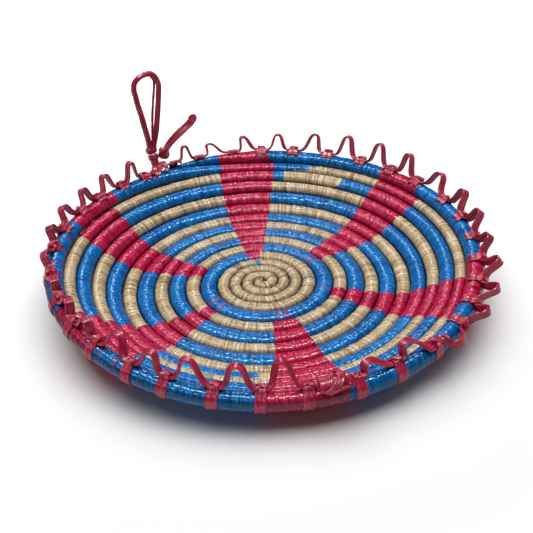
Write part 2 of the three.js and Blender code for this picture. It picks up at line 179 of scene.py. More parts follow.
# Meshes
def gridFaces(rows, sides, closedRows=False):
    row = np.arange(rows if closedRows else rows - 1)[:, None] * sides
    nextRow = (row + sides) % (rows * sides)
    side = np.arange(sides)[None, :]
    nextSide = (side + 1) % sides
    corners = [row + side, row + nextSide, nextRow + nextSide, nextRow + side]
    return np.stack(corners, -1).reshape(-1, 4)


def gridPlaces(acrossMm, aroundMm, seeds, closedRows=False):
    # Where each face corner lies on the raffia: across the strand, along it, and the strand's own seed.
    rows, sides = len(acrossMm), len(aroundMm) - 1
    spans = rows if closedRows else rows - 1
    places = np.zeros((spans, sides, 4, 3))
    nextAcross = np.append(acrossMm[1:], acrossMm[-1] + (acrossMm[-1] - acrossMm[-2]))[:spans]
    places[:, :, 0, 0] = places[:, :, 1, 0] = acrossMm[:spans, None]
    places[:, :, 2, 0] = places[:, :, 3, 0] = nextAcross[:, None]
    places[:, :, 0, 1] = places[:, :, 3, 1] = aroundMm[None, :-1]
    places[:, :, 1, 1] = places[:, :, 2, 1] = aroundMm[None, 1:]
    places[:, :, :, 2] = np.asarray(seeds)[:spans, None, None]
    return places.reshape(-1, 3)


mmToMetres = 0.001
uvPerMm = 0.01


class RaffiaParts:
    # Collects lofted strands into one mesh.
    def __init__(self):
        self.points, self.faces, self.places, self.joints, self.slots = [], [], [], [], []
        self.caps, self.count = [], 0

    def addLoft(self, rings, places, joints=None, slots=0, closedRows=False):
        rows, sides = rings.shape[:2]
        faces = gridFaces(rows, sides, closedRows)
        flat = rings.reshape(-1, 3)
        a, b, c, d = (flat[faces[:, k]] for k in range(4))
        middle = flat.mean(0)
        turned = np.einsum("ij,ij->i", (a + b + c + d) / 4.0 - middle, np.cross(c - a, d - b)).sum() < 0
        if turned:  # so that the faces look outward
            faces = faces[:, ::-1]
            places = places.reshape(-1, 4, 3)[:, ::-1].reshape(-1, 3)
        if not closedRows:
            first = list(range(sides))
            last = [(rows - 1) * sides + side for side in range(sides)]
            ends = (first, last[::-1]) if turned else (first[::-1], last)
            self.caps += [[corner + self.count for corner in end] for end in ends]
        self.points.append(flat)
        self.faces.append(faces + self.count)
        self.places.append(places)
        if joints is None:
            joints = np.zeros((rows, sides))
        elif joints.ndim == 1:
            joints = np.repeat(joints[:, None], sides, axis=1)
        self.joints.append(joints.ravel())
        self.slots.append(np.full(len(faces), slots) if np.isscalar(slots) else slots.ravel())
        self.count += len(flat)

    def build(self, name, nodes, materials, body="basket"):
        points = (np.concatenate(self.points) + axisPlace) * mmToMetres
        faces = np.concatenate(self.faces)
        mesh = bpy.data.meshes.new(name)
        mesh.from_pydata(points.tolist(), [], faces.tolist() + self.caps)
        mesh.polygons.foreach_set("use_smooth", [True] * len(faces) + [False] * len(self.caps))
        slots = np.concatenate(self.slots + [np.zeros(len(self.caps))]).astype(int)
        mesh.polygons.foreach_set("material_index", slots.tolist())
        for material in materials:
            mesh.materials.append(material)
        capCorners = sum(len(cap) for cap in self.caps)
        places = np.concatenate(self.places + [np.zeros((capCorners, 3))])
        placeData = mesh.attributes.new("raffiaPlace", "FLOAT_VECTOR", "CORNER").data
        placeData.foreach_set("vector", places.ravel())
        # dark joints between strands, together with painted shade on the sides of the coil's turns
        jointData = mesh.attributes.new("raffiaJointAndShade", "FLOAT", "POINT").data
        jointData.foreach_set("value", np.concatenate(self.joints))
        mesh.uv_layers.new(name="acrossFibres").data.foreach_set("uv", (places[:, :2] * uvPerMm).ravel())
        mesh.update()
        piece = bpy.data.objects.new(name, mesh)
        bpy.context.scene.collection.objects.link(piece)
        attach(piece, body)
        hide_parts(*nodes)


# Raffia finishes
def newGroup(name, inputs, outputs):
    group = bpy.data.node_groups.new(name, "ShaderNodeTree")
    for label, kind, value in inputs:
        socket = group.interface.new_socket(name=label, in_out="INPUT", socket_type=kind)
        socket.default_value = value
    for label, kind in outputs:
        group.interface.new_socket(name=label, in_out="OUTPUT", socket_type=kind)
    return group, group.nodes.new("NodeGroupInput"), group.nodes.new("NodeGroupOutput")


def feed(tree, socket, value):
    # Sets a socket to a value, or links an output to it.
    if isinstance(value, (int, float, tuple)):
        socket.default_value = value
    else:
        tree.links.new(value, socket)


def mathNode(tree, operation, *values):
    node = tree.nodes.new("ShaderNodeMath")
    node.operation = operation
    for socket, value in zip(node.inputs, values):
        feed(tree, socket, value)
    return node.outputs[0]


def colourMix(tree, blend, share, first, second):
    node = tree.nodes.new("ShaderNodeMix")
    node.data_type = "RGBA"
    node.blend_type = blend
    for index, value in ((0, share), (6, first), (7, second)):
        feed(tree, node.inputs[index], value)
    return node.outputs[2]


def mapRange(tree, value, limits):
    node = tree.nodes.new("ShaderNodeMapRange")
    feed(tree, node.inputs["Value"], value)
    for label, limit in limits.items():
        feed(tree, node.inputs[label], limit)
    return node.outputs[0]


def stretchedNoise(tree, scales, detail, roughness=0.5):
    # Noise on the strand's own coordinates. The scales are across, along and from strand to strand.
    place = tree.nodes.new("ShaderNodeAttribute")
    place.attribute_name = "raffiaPlace"
    scaled = tree.nodes.new("ShaderNodeVectorMath")
    scaled.operation = "MULTIPLY"
    feed(tree, scaled.inputs[0], place.outputs["Vector"])
    feed(tree, scaled.inputs[1], scales)
    noise = tree.nodes.new("ShaderNodeTexNoise")
    noise.inputs["Scale"].default_value = 1.0
    noise.inputs["Detail"].default_value = detail
    noise.inputs["Roughness"].default_value = roughness
    tree.links.new(scaled.outputs[0], noise.inputs["Vector"])
    return noise.outputs[0]


def buildFibreGroup():
    # Lengthwise fibres and folds of one strand.
    group, given, out = newGroup(
        "raffiaFibres",
        [("Fibres per mm", "NodeSocketFloat", 3.0), ("Folds per mm", "NodeSocketFloat", 0.9),
         ("Fold Share", "NodeSocketFloat", 0.6)],
        [("Height", "NodeSocketFloat"), ("Streak", "NodeSocketFloat")],
    )
    noises = []
    scales = (("Fibres per mm", 0.1, 43.0, 2.0), ("Folds per mm", 0.06, 17.0, 1.0))
    for label, along, fromStrand, detail in scales:
        scale = group.nodes.new("ShaderNodeCombineXYZ")
        for socket, value in zip(scale.inputs, (given.outputs[label], along, fromStrand)):
            feed(group, socket, value)
        noises.append(stretchedNoise(group, scale.outputs[0], detail))
    fibres, folds = noises
    foldPart = mathNode(group, "MULTIPLY", folds, given.outputs["Fold Share"])
    rest = mathNode(group, "SUBTRACT", 1.0, given.outputs["Fold Share"])
    height = mathNode(group, "MULTIPLY_ADD", fibres, rest, foldPart)
    streak = mathNode(group, "MULTIPLY_ADD", fibres, 0.4, mathNode(group, "MULTIPLY", folds, 0.6))
    group.links.new(height, out.inputs["Height"])
    group.links.new(streak, out.inputs["Streak"])
    return group


def buildDyeGroup():
    # Dye that took unevenly: a tone for each strand, streaks along it, and dark joints between strands, whose
    # mask on the coil also carries painted shade on the sides of each turn.
    plainColours = {"Colour": 0.5, "Deep": 0.1, "Faded": 0.8}
    group, given, out = newGroup(
        "raffiaDye",
        [(label, "NodeSocketColor", (grey, grey, grey, 1.0)) for label, grey in plainColours.items()]
        + [("Streak", "NodeSocketFloat", 0.5), ("Uneven", "NodeSocketFloat", 0.5),
           ("Joint And Shade Dark", "NodeSocketFloat", 0.8)],
        [("Colour", "NodeSocketColor"), ("Joint", "NodeSocketFloat")],
    )
    dyed = given.outputs
    tone = stretchedNoise(group, (0.03, 0.05, 91.7), 2.0, 0.6)
    tonePart = mathNode(group, "MULTIPLY", tone, 0.4)
    toneAndStreak = mathNode(group, "MULTIPLY_ADD", dyed["Streak"], 0.6, tonePart)
    deepShare = mapRange(group, toneAndStreak, {"From Min": 0.5, "From Max": 0.34})
    fadedShare = mapRange(group, dyed["Streak"], {"From Min": 0.5, "From Max": 0.68})
    deepPart = mathNode(group, "MULTIPLY", deepShare, dyed["Uneven"])
    fadedPart = mathNode(group, "MULTIPLY", fadedShare, dyed["Uneven"])
    deepened = colourMix(group, "MIX", deepPart, dyed["Colour"], dyed["Deep"])
    faded = colourMix(group, "MIX", fadedPart, deepened, dyed["Faded"])
    # dark joints, and on the coil painted shade where one turn meets the next
    joint = group.nodes.new("ShaderNodeAttribute")
    joint.attribute_name = "raffiaJointAndShade"
    jointAndShadeSharp = mathNode(group, "POWER", joint.outputs["Fac"], 1.5)
    jointAndShadePart = mathNode(group, "MULTIPLY", jointAndShadeSharp, dyed["Joint And Shade Dark"])
    jointAndShadeColour = colourMix(group, "MULTIPLY", 1.0, dyed["Deep"], (0.12, 0.11, 0.12, 1.0))
    darkened = colourMix(group, "MIX", jointAndShadePart, faded, jointAndShadeColour)
    group.links.new(darkened, out.inputs["Colour"])
    group.links.new(jointAndShadePart, out.inputs["Joint"])
    return group


def buildShineGroup():
    # Glossy raffia, duller where it is rubbed and down in the joints.
    group, given, out = newGroup(
        "raffiaShine",
        [("Glossy", "NodeSocketFloat", 0.25), ("Dull", "NodeSocketFloat", 0.45),
         ("Joint", "NodeSocketFloat", 0.0)],
        [("Roughness", "NodeSocketFloat")],
    )
    rubbed = stretchedNoise(group, (0.25, 0.12, 29.0), 3.0, 0.6)
    spread = mapRange(group, rubbed, {
        "From Min": 0.3, "From Max": 0.7, "To Min": given.outputs["Glossy"], "To Max": given.outputs["Dull"],
    })
    rough = mathNode(group, "MULTIPLY_ADD", given.outputs["Joint"], 0.1, spread)
    group.links.new(rough, out.inputs["Roughness"])
    return group


raffiaGroups = {"fibres": buildFibreGroup(), "dye": buildDyeGroup(), "shine": buildShineGroup()}
bumpHeight = 0.0005  # metres


def linear(colour):
    channels = [value / 255.0 for value in colour]
    return tuple(v / 12.92 if v <= 0.04045 else ((v + 0.055) / 1.055) ** 2.4 for v in channels) + (1.0,)


def buildRaffia(name, finish):
    material = bpy.data.materials.new(name)
    material.use_nodes = True
    material.diffuse_color = linear(finish["colour"])
    tree = material.node_tree
    shader = tree.nodes["Principled BSDF"]
    ownValues = {
        "fibres": {
            "Fibres per mm": finish["fibresPerMm"], "Folds per mm": finish["foldsPerMm"],
            "Fold Share": finish["foldShare"],
        },
        "dye": {
            "Colour": linear(finish["colour"]), "Deep": linear(finish["deep"]),
            "Faded": linear(finish["faded"]),
            "Uneven": finish["uneven"], "Joint And Shade Dark": finish["jointAndShadeDark"],
        },
        "shine": {"Glossy": finish["glossy"], "Dull": finish["dull"]},
    }
    placed = {}
    for label, group in raffiaGroups.items():
        placed[label] = tree.nodes.new("ShaderNodeGroup")
        placed[label].node_tree = group
        for socket, value in ownValues[label].items():
            placed[label].inputs[socket].default_value = value
    bump = tree.nodes.new("ShaderNodeBump")
    bump.inputs["Strength"].default_value = finish["bump"]
    bump.inputs["Distance"].default_value = bumpHeight
    tangent = tree.nodes.new("ShaderNodeTangent")
    tangent.direction_type = "UV_MAP"
    tangent.uv_map = "acrossFibres"
    tree.links.new(placed["fibres"].outputs["Streak"], placed["dye"].inputs["Streak"])
    tree.links.new(placed["dye"].outputs["Colour"], shader.inputs["Base Color"])
    tree.links.new(placed["dye"].outputs["Joint"], placed["shine"].inputs["Joint"])
    tree.links.new(placed["shine"].outputs["Roughness"], shader.inputs["Roughness"])
    tree.links.new(placed["fibres"].outputs["Height"], bump.inputs["Height"])
    tree.links.new(bump.outputs["Normal"], shader.inputs["Normal"])
    tree.links.new(tangent.outputs[0], shader.inputs["Tangent"])
    shader.inputs["Anisotropic"].default_value = finish["stretch"]
    shader.inputs["Specular IOR Level"].default_value = finish["specular"]
    shader.inputs["Specular Tint"].default_value = finish["shineTint"]
    return material


tanFinish = {
    "colour": (188, 162, 122), "deep": (112, 84, 52), "faded": (238, 220, 186),
    "uneven": 1.0, "jointAndShadeDark": 1.0, "fibresPerMm": 2.6, "foldsPerMm": 0.9, "foldShare": 0.6, "bump": 0.5,
    "glossy": 0.24, "dull": 0.36, "stretch": 1.0, "specular": 0.7, "shineTint": (1.0, 0.97, 0.9, 1.0),
}
blueFinish = {
    "colour": (0, 96, 176), "deep": (0, 42, 102), "faded": (22, 144, 218),
    "uneven": 0.9, "jointAndShadeDark": 1.0, "fibresPerMm": 2.4, "foldsPerMm": 0.8, "foldShare": 0.6, "bump": 0.4,
    "glossy": 0.22, "dull": 0.32, "stretch": 1.0, "specular": 0.8, "shineTint": (0.4, 0.8, 1.0, 1.0),
}
magentaFinish = {
    "colour": (182, 6, 62), "deep": (120, 0, 32), "faded": (218, 56, 108),
    "uneven": 0.9, "jointAndShadeDark": 1.0, "fibresPerMm": 2.4, "foldsPerMm": 0.8, "foldShare": 0.6, "bump": 0.4,
    "glossy": 0.22, "dull": 0.32, "stretch": 1.0, "specular": 0.8, "shineTint": (1.0, 0.62, 0.72, 1.0),
}
crimsonFinish = {
    "colour": (170, 26, 62), "deep": (112, 10, 34), "faded": (206, 78, 108),
    "uneven": 0.7, "jointAndShadeDark": 0.85, "fibresPerMm": 1.8, "foldsPerMm": 0.55, "foldShare": 0.65, "bump": 0.6,
    "glossy": 0.26, "dull": 0.4, "stretch": 0.85, "specular": 0.7, "shineTint": (1.0, 0.75, 0.8, 1.0),
}
tanRaffia = buildRaffia("tanRaffia", tanFinish)
blueRaffia = buildRaffia("blueRaffia", blueFinish)
magentaRaffia = buildRaffia("magentaRaffia", magentaFinish)
crimsonRaffia = buildRaffia("crimsonRaffia", crimsonFinish)
print("raffia finishes ready")

# The wrapped coil
wrap = {
    # each kind of strand: narrowest and widest, how far its joint lies in, and how far it may stand out
    "strands": {
        "middle": (1.1, 2.4, 0.6, 0.7), "tan": (1.4, 4.0, 0.36, 0.3), "blue": (1.8, 5.8, 0.32, 0.2),
    },
    "narrowPower": 1.3,  # makes narrow strands commoner than wide ones
    "strandRound": 0.26, "mostRound": 0.2,  # its rounded edge in mm, and at most this share of the strand
    "strandTurn": 3.5,  # degrees by which a strand is turned round the coil
    "leastJoint": 0.35,  # how dark the lightest joint is
    "lean": 0.35, "endDepth": 0.1, "endFade": 8.0,  # mm, the strands' slant and how a turn's ends run out
    # the coil is 3 mm thinner than its solid and has the same underside
    "thickness": 7.5, "fullness": 2.08, "thickestShare": 1.15, "thickestMore": 2.0, "leastHalf": 1.5,
    "spreadAcross": 0.3, "spreadOutside": 0.15,
    "spreadUnder": {9: 0.35, 10: 0.9},  # the last turns tuck in under the thicker rim coil
    # the wrap is stretched over the grass in flats with rounded edges, which wander along the coil
    "edges": [0, 50, 76, 104, 130, 180, 225, 270, 315], "bentFlats": [0, 130], "flatness": 0.3,
    "edgeRise": 0.012, "edgeWander": 4.5, "sideWander": 0.25,
    "wanderWaves": [(3.37, 2.1, 1.0), (9.61, 3.7, 0.8), (23.3, 1.3, 0.4)],
    # painted shade: from this share of the half width each turn's sides darken where it meets its neighbours,
    # and how dark
    "creaseShadeFrom": 0.78, "creaseShadeDark": 0.9, "meanRadius": 5.2,
    # magenta wedges: from and to azimuth at turn 2, the same at turn 10, and the first turn that has it
    "wedges": [
        (88, 107, 85, 104, 1), (154, 169, 146, 166, 2), (217, 228, 206, 231, 2), (277, 296, 270.5, 292, 2),
        (337, 348, 328, 347, 2), (392, 407, 390.5, 408, 2),
    ],
    "wedgeTurns": (2.0, 10.0),
    "rimMagenta": [(87, 103), (143, 163), (206, 222), (270, 289), (333, 354), (394, 409)],
    # single thin magenta strands: their azimuths on each turn
    "strays": {
        1: [33, 38, 213, 226, 283, 288.5, 292, 345], 11: [171.5, 177.5, 184, 190, 196, 201, 227, 232],
    },
    "strayWidth": 0.9, "strayRoom": 1.2,
    # where a turn carries its neighbour's colour: from and to azimuth, slant along the section in degrees
    "tanPatches": {7: [(268.0, 276.0, 1.5)], 9: [(61.5, 80.5, 3.0)]},
    "bluePatches": {
        0: [(92.0, 99.5, -3.0), (1.0, 4.5, 0.0)], 10: [(78.0, 92.0, 8.0), (231.0, 300.0, 2.0)],
    },
}


def coilPlaces(turn):
    # Middle, half width and half thickness of the coil at each turn value.
    azimuth = azimuthAt(turn)
    inner = outerEdge(turn - 1.0) + coil["turnGap"] / 2.0
    outer = outerEdge(turn) - coil["turnGap"] / 2.0
    onRim = turn >= coil["rimTurn"]
    grown = np.where(onRim, ease((turn - coil["rimTurn"]) / coil["rimTaperTurn"]), 0.0)
    full = wrap["thickness"] + (coil["rimThickness"] - wrap["thickness"]) * grown
    thickness = np.minimum(full, wrap["thickestShare"] * (outer - inner) + wrap["thickestMore"])
    lifted = wrap["thickness"] + (coil["thickness"] - wrap["thickness"]) * grown
    lift = np.minimum(thickness, lifted) / 2.0
    a = dishPoint(inner, azimuth, lift)
    b = dishPoint(outer, azimuth, lift)
    angle = np.radians(azimuth)
    along = np.stack([-np.sin(angle), np.cos(angle), np.zeros_like(angle)], -1)
    across = (b - a) / 2.0
    rise = spreadOut(unit(np.cross(across, along)), thickness / 2.0)
    return (a + b) / 2.0, across, rise


def inRanges(azimuth, ranges):
    return any((azimuth - low) % 360.0 <= high - low for low, high in ranges)


def wedgeRanges(turn, whole):
    if whole >= coil["rimTurn"]:
        return wrap["rimMagenta"]
    innerTurn, outerTurn = wrap["wedgeTurns"]
    share = min(max((turn - innerTurn) / (outerTurn - innerTurn), 0.0), 1.0)
    return [
        (fromInner + (fromOuter - fromInner) * share, toInner + (toOuter - toInner) * share)
        for fromInner, toInner, fromOuter, toOuter, firstTurn in wrap["wedges"] if whole >= firstTurn
    ]


def wedgeEdges(fromTurn, whole):
    # Turn values at which a wedge starts or ends on this turn.
    edges = []
    for index in range(len(wedgeRanges(fromTurn, whole))):
        for side in (0, 1):
            turn = fromTurn
            for _ in range(3):
                turn = fromTurn + turnPast(wedgeRanges(turn, whole)[index][side])
            edges.append(turn)
    return edges


def strandStarts(length, strays, edges, kind, random):
    # Where each strand starts along the turn. A stray gets its own thin strand, and a wedge starts a new one.
    narrowest, widest, _, _ = wrap["strands"][kind]
    starts = [0.0]
    while starts[-1] < length:
        starts.append(starts[-1] + narrowest + (widest - narrowest) * random.random() ** wrap["narrowPower"])
    starts = np.array(starts) * length / starts[-1]
    for stray in strays:
        kept = starts[np.abs(starts - stray) > wrap["strayWidth"] * wrap["strayRoom"]]
        starts = np.sort(np.append(kept, [stray - wrap["strayWidth"] / 2, stray + wrap["strayWidth"] / 2]))
    for edge in edges:
        nearest = int(np.argmin(np.abs(starts - edge)))
        if 0 < nearest < len(starts) - 1:
            starts[nearest] = edge
    return starts


def strandMarks(starts, strays, kind, whole, turnOf, random):
    # Rows across the turn: the joint before each strand, then the strand's two rounded edges.
    _, _, jointDepth, strandLift = wrap["strands"][kind]
    rows, seeds, slots = [], [], []
    for low, high in zip(starts[:-1], starts[1:]):
        turn = float(turnOf((low + high) / 2.0))
        isStray = any(low < stray < high for stray in strays)
        slot = 1 if isStray or inRanges(azimuthAt(turn) % 360.0, wedgeRanges(turn, whole)) else 0
        seed = random.random()
        edge = min(wrap["mostRound"], wrap["strandRound"] / (high - low))
        lift = strandLift * random.random()
        joint = wrap["leastJoint"] + (1.0 - wrap["leastJoint"]) * random.random()
        turned = wrap["strandTurn"] * random.standard_normal()
        rows.append((low, jointDepth, joint, 0.0))
        rows.append((low + (high - low) * edge, lift, 0.0, turned))
        rows.append((low + (high - low) * (1.0 - edge), lift, 0.0, turned))
        seeds += [seed] * 3
        slots += [slot] * 3
    # the next turn's wrap runs on without a joint
    rows[0] = (starts[0], wrap["endDepth"], 0.0, 0.0)
    rows.append((starts[-1], wrap["endDepth"], 0.0, 0.0))
    marks, depths, joints, turned = np.array(rows).T
    return marks, depths, joints, turned, seeds, np.array(slots)


def sectionOutline(turns, turned, roundBelow):
    # The section's outline at each turn value, as shares of the half width and half thickness.
    plain = np.array(wrap["edges"])
    edge = np.arange(len(plain))[None, :]
    along = 2.0 * math.pi * turns[:, None]
    wander = sum(size * np.sin(rate * along + step * edge) for rate, step, size in wrap["wanderWaves"])
    freely = np.where(plain % 180 == 0, wrap["sideWander"], 1.0)
    angle = -np.radians(plain + (wrap["edgeWander"] * wander + turned[:, None]) * freely)
    angle = np.concatenate([angle, angle[:, :1] - 2.0 * math.pi], axis=1)
    power = 2.0 / wrap["fullness"]

    def onOval(at):
        ways = np.stack([np.cos(at), np.sin(at)], -1)
        return np.sign(ways) * np.abs(ways) ** power

    corners = onOval(angle)
    outline = []
    for index, start in enumerate(wrap["edges"]):
        outline.append(corners[:, index] * (1.0 + wrap["edgeRise"]))
        shares = (0.5,) if start < 180 or roundBelow else ()
        for share in (0.33, 0.67) if start in wrap["bentFlats"] else shares:
            chord = corners[:, index] + (corners[:, index + 1] - corners[:, index]) * share
            curve = onOval(angle[:, index] + (angle[:, index + 1] - angle[:, index]) * share)
            outline.append(curve + (chord - curve) * wrap["flatness"])
    outline = np.stack(outline, 1)
    return outline[..., 0], outline[..., 1]


def patchSlots(turns, whole, sine):
    # Colour slots for each face of the turn that a slanting patch covers: 2 is blue and 3 tan.
    azimuth = azimuthAt(turns) % 360.0
    slots = np.zeros(sine.shape, int)
    for patches, slot in ((wrap["bluePatches"], 2), (wrap["tanPatches"], 3)):
        for low, high, slant in patches.get(whole, []):
            inside = (azimuth[:, None] + slant * sine >= low) & (azimuth[:, None] < high)
            slots[inside & (turns[:, None] > whole)] = slot
    return slots


def buildTurn(name, node, fromTurn, toTurn, slotName, materials, seed):
    random = np.random.default_rng(seed)
    whole = int(math.floor((fromTurn + toTurn) / 2.0)) if fromTurn > 0 else 0
    kind = "middle" if whole == 0 else slotName.split("_")[0]
    fine = np.linspace(fromTurn, toTurn, 3000)
    middles, _, _ = coilPlaces(fine)
    length = np.concatenate([[0.0], np.cumsum(np.linalg.norm(np.diff(middles, axis=0), axis=1))])

    def turnOf(mark):
        return np.interp(mark, length, fine)

    strayAzimuths = wrap["strays"].get(whole, [])
    strays = [np.interp(fromTurn + turnPast(azimuth), fine, length) for azimuth in strayAzimuths]
    edges = np.interp(wedgeEdges(fromTurn, whole), fine, length)
    starts = strandStarts(length[-1], strays, edges, kind, random)
    marks, depths, joints, turned, seeds, slots = strandMarks(starts, strays, kind, whole, turnOf, random)
    cosine, sine = sectionOutline(turnOf(marks), turned, whole == coil["rimTurn"])
    fade = np.clip(np.minimum(marks, length[-1] - marks) / wrap["endFade"], 0.0, 1.0)
    middle, across, rise = coilPlaces(turnOf(marks[:, None] + wrap["lean"] * fade[:, None] * cosine))
    halfWidth = np.maximum(np.linalg.norm(across, axis=-1), wrap["leastHalf"])
    halfHeight = np.maximum(np.linalg.norm(rise, axis=-1), wrap["leastHalf"])
    outside = wrap["spreadUnder"].get(whole, wrap["spreadOutside"])
    reachOut = wrap["spreadAcross"] + outside * np.maximum(cosine, 0.0)
    scaleAcross = 1.0 + (reachOut - depths[:, None]) / halfWidth
    scaleUp = 1.0 - depths[:, None] / halfHeight
    rings = middle + spreadOut(across, cosine * scaleAcross) + spreadOut(rise, sine * scaleUp)
    rings[..., 2] = np.maximum(rings[..., 2], 0.0)
    sides = cosine.shape[1]
    places = gridPlaces(marks, 2.0 * math.pi * wrap["meanRadius"] * np.arange(sides + 1) / sides, seeds)
    patches = patchSlots(turnOf(marks[:-1]), whole, sine[:-1])
    faceSlots = np.where((patches > 0) & (slots[:, None] == 0), patches, slots[:, None])
    # painted shade: the section's sides, where a turn meets the next, are darkened through the joint
    # attribute along with the real dark joints
    creaseShade = wrap["creaseShadeDark"] * ease((np.abs(cosine) - wrap["creaseShadeFrom"]) / (1.0 - wrap["creaseShadeFrom"]))
    parts = RaffiaParts()
    parts.addLoft(rings, places, np.maximum(joints[:, None], creaseShade), faceSlots)
    parts.build(name, [node], materials)


buildTurn(
    "middleCoil", "centre_coil", -float(coil["centreTurns"]), 1.0, "tan_wrap",
    [tanRaffia, magentaRaffia, blueRaffia], 11,
)
for turn in range(1, coil["rimTurn"]):
    colour, ownRaffia = ("blue", blueRaffia) if turn % 2 else ("tan", tanRaffia)
    buildTurn(
        f"coilTurn{turn:02d}", f"turn_{turn:02d}_{colour}", float(turn), float(turn + 1), f"{colour}_wrap",
        [ownRaffia, magentaRaffia, blueRaffia, tanRaffia], 100 + turn,
    )
buildTurn(
    "rimCoil", "rim_coil", float(coil["rimTurn"]), coil["rimTurn"] + 1.0 + coil["rimTaperTurn"], "blue_wrap",
    [blueRaffia, magentaRaffia], 140,
)
print("coil wrapped")

# The edging's ribbon and the ties that lash it to the rim
edging = {
    "tieAzimuths": [
        129, 138, 148, 157, 168, 178, 191, 203, 214, 224, 236, 246, 258, 269, 280, 292, 303,
        315, 326, 335, 344, 353, 363, 373, 383, 396, 406, 417, 428, 439, 449, 458, 469, 477,
    ],
    "tieWidth": 8.4, "tieShownWidth": 8.0, "tieThickness": 0.9, "tieClearance": 0.45,
    "stripThickness": 2.4,  # of the solid, which the hanger's height is counted from
    "clearance": 0.3, "knotSlot": 14, "knotLean": -10,
    # lean outward, reach and sway of each loop
    "loops": [
        (16, 21, -2), (20, 20, 0), (22, 19, 0), (27, 18, 0), (23, 17, 1), (20, 15, 3), (0, 15, 4),
        (-7, 16, 3), (-6, 17, 2), (-18, 20, 1), (-9, 20, 2), (-11, 22, -2), (-14, 22, -1), (-23, 24, -1),
        None,
        (-10, 15, -6), (-10, 17, -7), (68, 15, -3), (63, 19, 0), (63, 19, 0), (50, 20, 0), (37, 18, 0),
        (32, 20, 0), (29, 21, 0), (31, 20, 0), (21, 23, 1), (21, 23, 1), (24, 23, 0), (28, 21, -2),
        (22, 19, 0), (24, 18, 3), (30, 16, 4), (24, 18, 0),
    ],
    # half of a loop from its top: along the rim and up
    "loopOutline": [
        (0.0, 1.0), (0.1, 0.97), (0.19, 0.87), (0.25, 0.69), (0.31, 0.44), (0.39, 0.21), (0.5, 0.05),
        (0.64, 0.0),
    ],
    "frontSpread": 0.42,  # the front loops stand wider
    "ribbonWidth": 5.3, "ribbonThickness": 1.7, "backTwist": -6.0, "frontTwist": 24.0, "legTwist": 9.0,
    "sideWiden": 0.25,  # the ribbon is wider at the left and right
    # its width and its twist waver: share or degrees, mm for each radian, and where the wave starts
    "widthWaves": [(0.04, 17.0, 1.3), (0.04, 41.0, 0.0)], "meanWidth": 0.95, "twistWave": (5.0, 23.0, 0.7),
    # a loop leans like its tie toward the tie, and its twist fades at the top and the foot. Each pair is
    # where the change starts and over how much, along the rim for the lean and up the loop for the twist.
    "tieLeanPart": (0.4, 0.2), "untwistPart": (0.7, 0.3), "topUntwist": 0.4, "legPart": (0.6, 0.4),
    "footPart": 0.25,
    "coilSteps": 45,
}
ribbonSection = {
    "across": [-1.0, -0.86, -0.62, -0.4, -0.3, -0.1, 0.12, 0.3, 0.42, 0.64, 0.86, 1.0],
    "front": [0.25, 0.9, 1.0, 0.85, 0.45, 0.8, 0.95, 0.75, 0.4, 0.85, 1.0, 0.3],
    "back": [0.3, 1.0, 0.9, 0.5, 0.8, 0.95, 0.8, 0.45, 0.8, 0.95, 0.9, 0.25],
    "wobble": 0.05, "wobbleRows": 2.3,
}
rimRadius = coil["rimThickness"] / 2.0
stripSeat = rimRadius + edging["tieClearance"] + edging["stripThickness"] / 2.0
ribbonSeat = rimRadius + edging["clearance"] + edging["ribbonThickness"] / 2.0
tieReach = ribbonSeat + edging["ribbonThickness"] / 2.0 + 0.2
upright = np.array([0.0, 0.0, 1.0])


def rimPoint(turn):
    azimuth = azimuthAt(turn)
    outer = float(outerEdge(turn)) - coil["turnGap"] / 2.0
    edge = dishPoint(outer, azimuth, coil["thickness"] / 2.0)
    inward = dishPoint(outer - coil["rimThickness"], azimuth, coil["thickness"] / 2.0) - edge
    return edge + unit(inward) * (coil["rimThickness"] - coil["turnGap"]) / 2.0


def atRimEnd(azimuth):
    return turnPast(azimuth) < coil["rimTaperTurn"]


def rimFrame(azimuth):
    # Middle of the rim coil at an azimuth, and the ways outward and along it.
    turn = coil["rimTurn"] + turnPast(azimuth) + (1.0 if atRimEnd(azimuth) else 0.0)
    step = math.floor(turn * edging["coilSteps"])
    share = turn * edging["coilSteps"] - step
    a, b = (rimPoint((step + k) / edging["coilSteps"]) for k in (0, 1))
    angle = math.radians(azimuth)
    out = np.array([math.cos(angle), math.sin(angle), 0.0])
    return a + (b - a) * share, out, np.array([-math.sin(angle), math.cos(angle), 0.0])


def leanOf(slot):
    return edging["loops"][slot][0] if edging["loops"][slot] else edging["knotLean"]


def tieLean(tie):
    return (leanOf(max(tie - 1, 0)) + leanOf(min(tie, len(edging["loops"]) - 1))) / 2.0


def leaning(out, lean):
    rise = out * math.sin(math.radians(lean)) + upright * math.cos(math.radians(lean))
    across = out * math.cos(math.radians(lean)) - upright * math.sin(math.radians(lean))
    return rise, across


def pathLength(points):
    return np.linalg.norm(np.diff(points, axis=0, prepend=points[:1]), axis=1).cumsum()


def ribbonRings(points, across, widths, thickness, twists=None):
    # A flat ribbon with ridges lengthwise.
    tangent = unit(np.gradient(points, axis=0))
    side = unit(across - spreadOut(tangent, np.einsum("ij,ij->i", across, tangent)))
    thick = np.cross(tangent, side)
    if twists is not None:
        turnedSide = spreadOut(side, np.cos(twists)) + spreadOut(thick, np.sin(twists))
        thick = spreadOut(thick, np.cos(twists)) - spreadOut(side, np.sin(twists))
        side = turnedSide
    shares, front, back = (np.array(ribbonSection[key]) for key in ("across", "front", "back"))
    outline = np.concatenate([np.stack([shares, front], 1), np.stack([shares[::-1], -back], 1)])
    wobble = 1.0 + ribbonSection["wobble"] * np.sin(np.arange(len(points)) / ribbonSection["wobbleRows"])
    u = outline[None, :, 0] * widths[:, None] / 2.0 * wobble[:, None]
    v = outline[None, :, 1] * thickness / 2.0
    return points[:, None, :] + side[:, None, :] * u[..., None] + thick[:, None, :] * v[..., None]


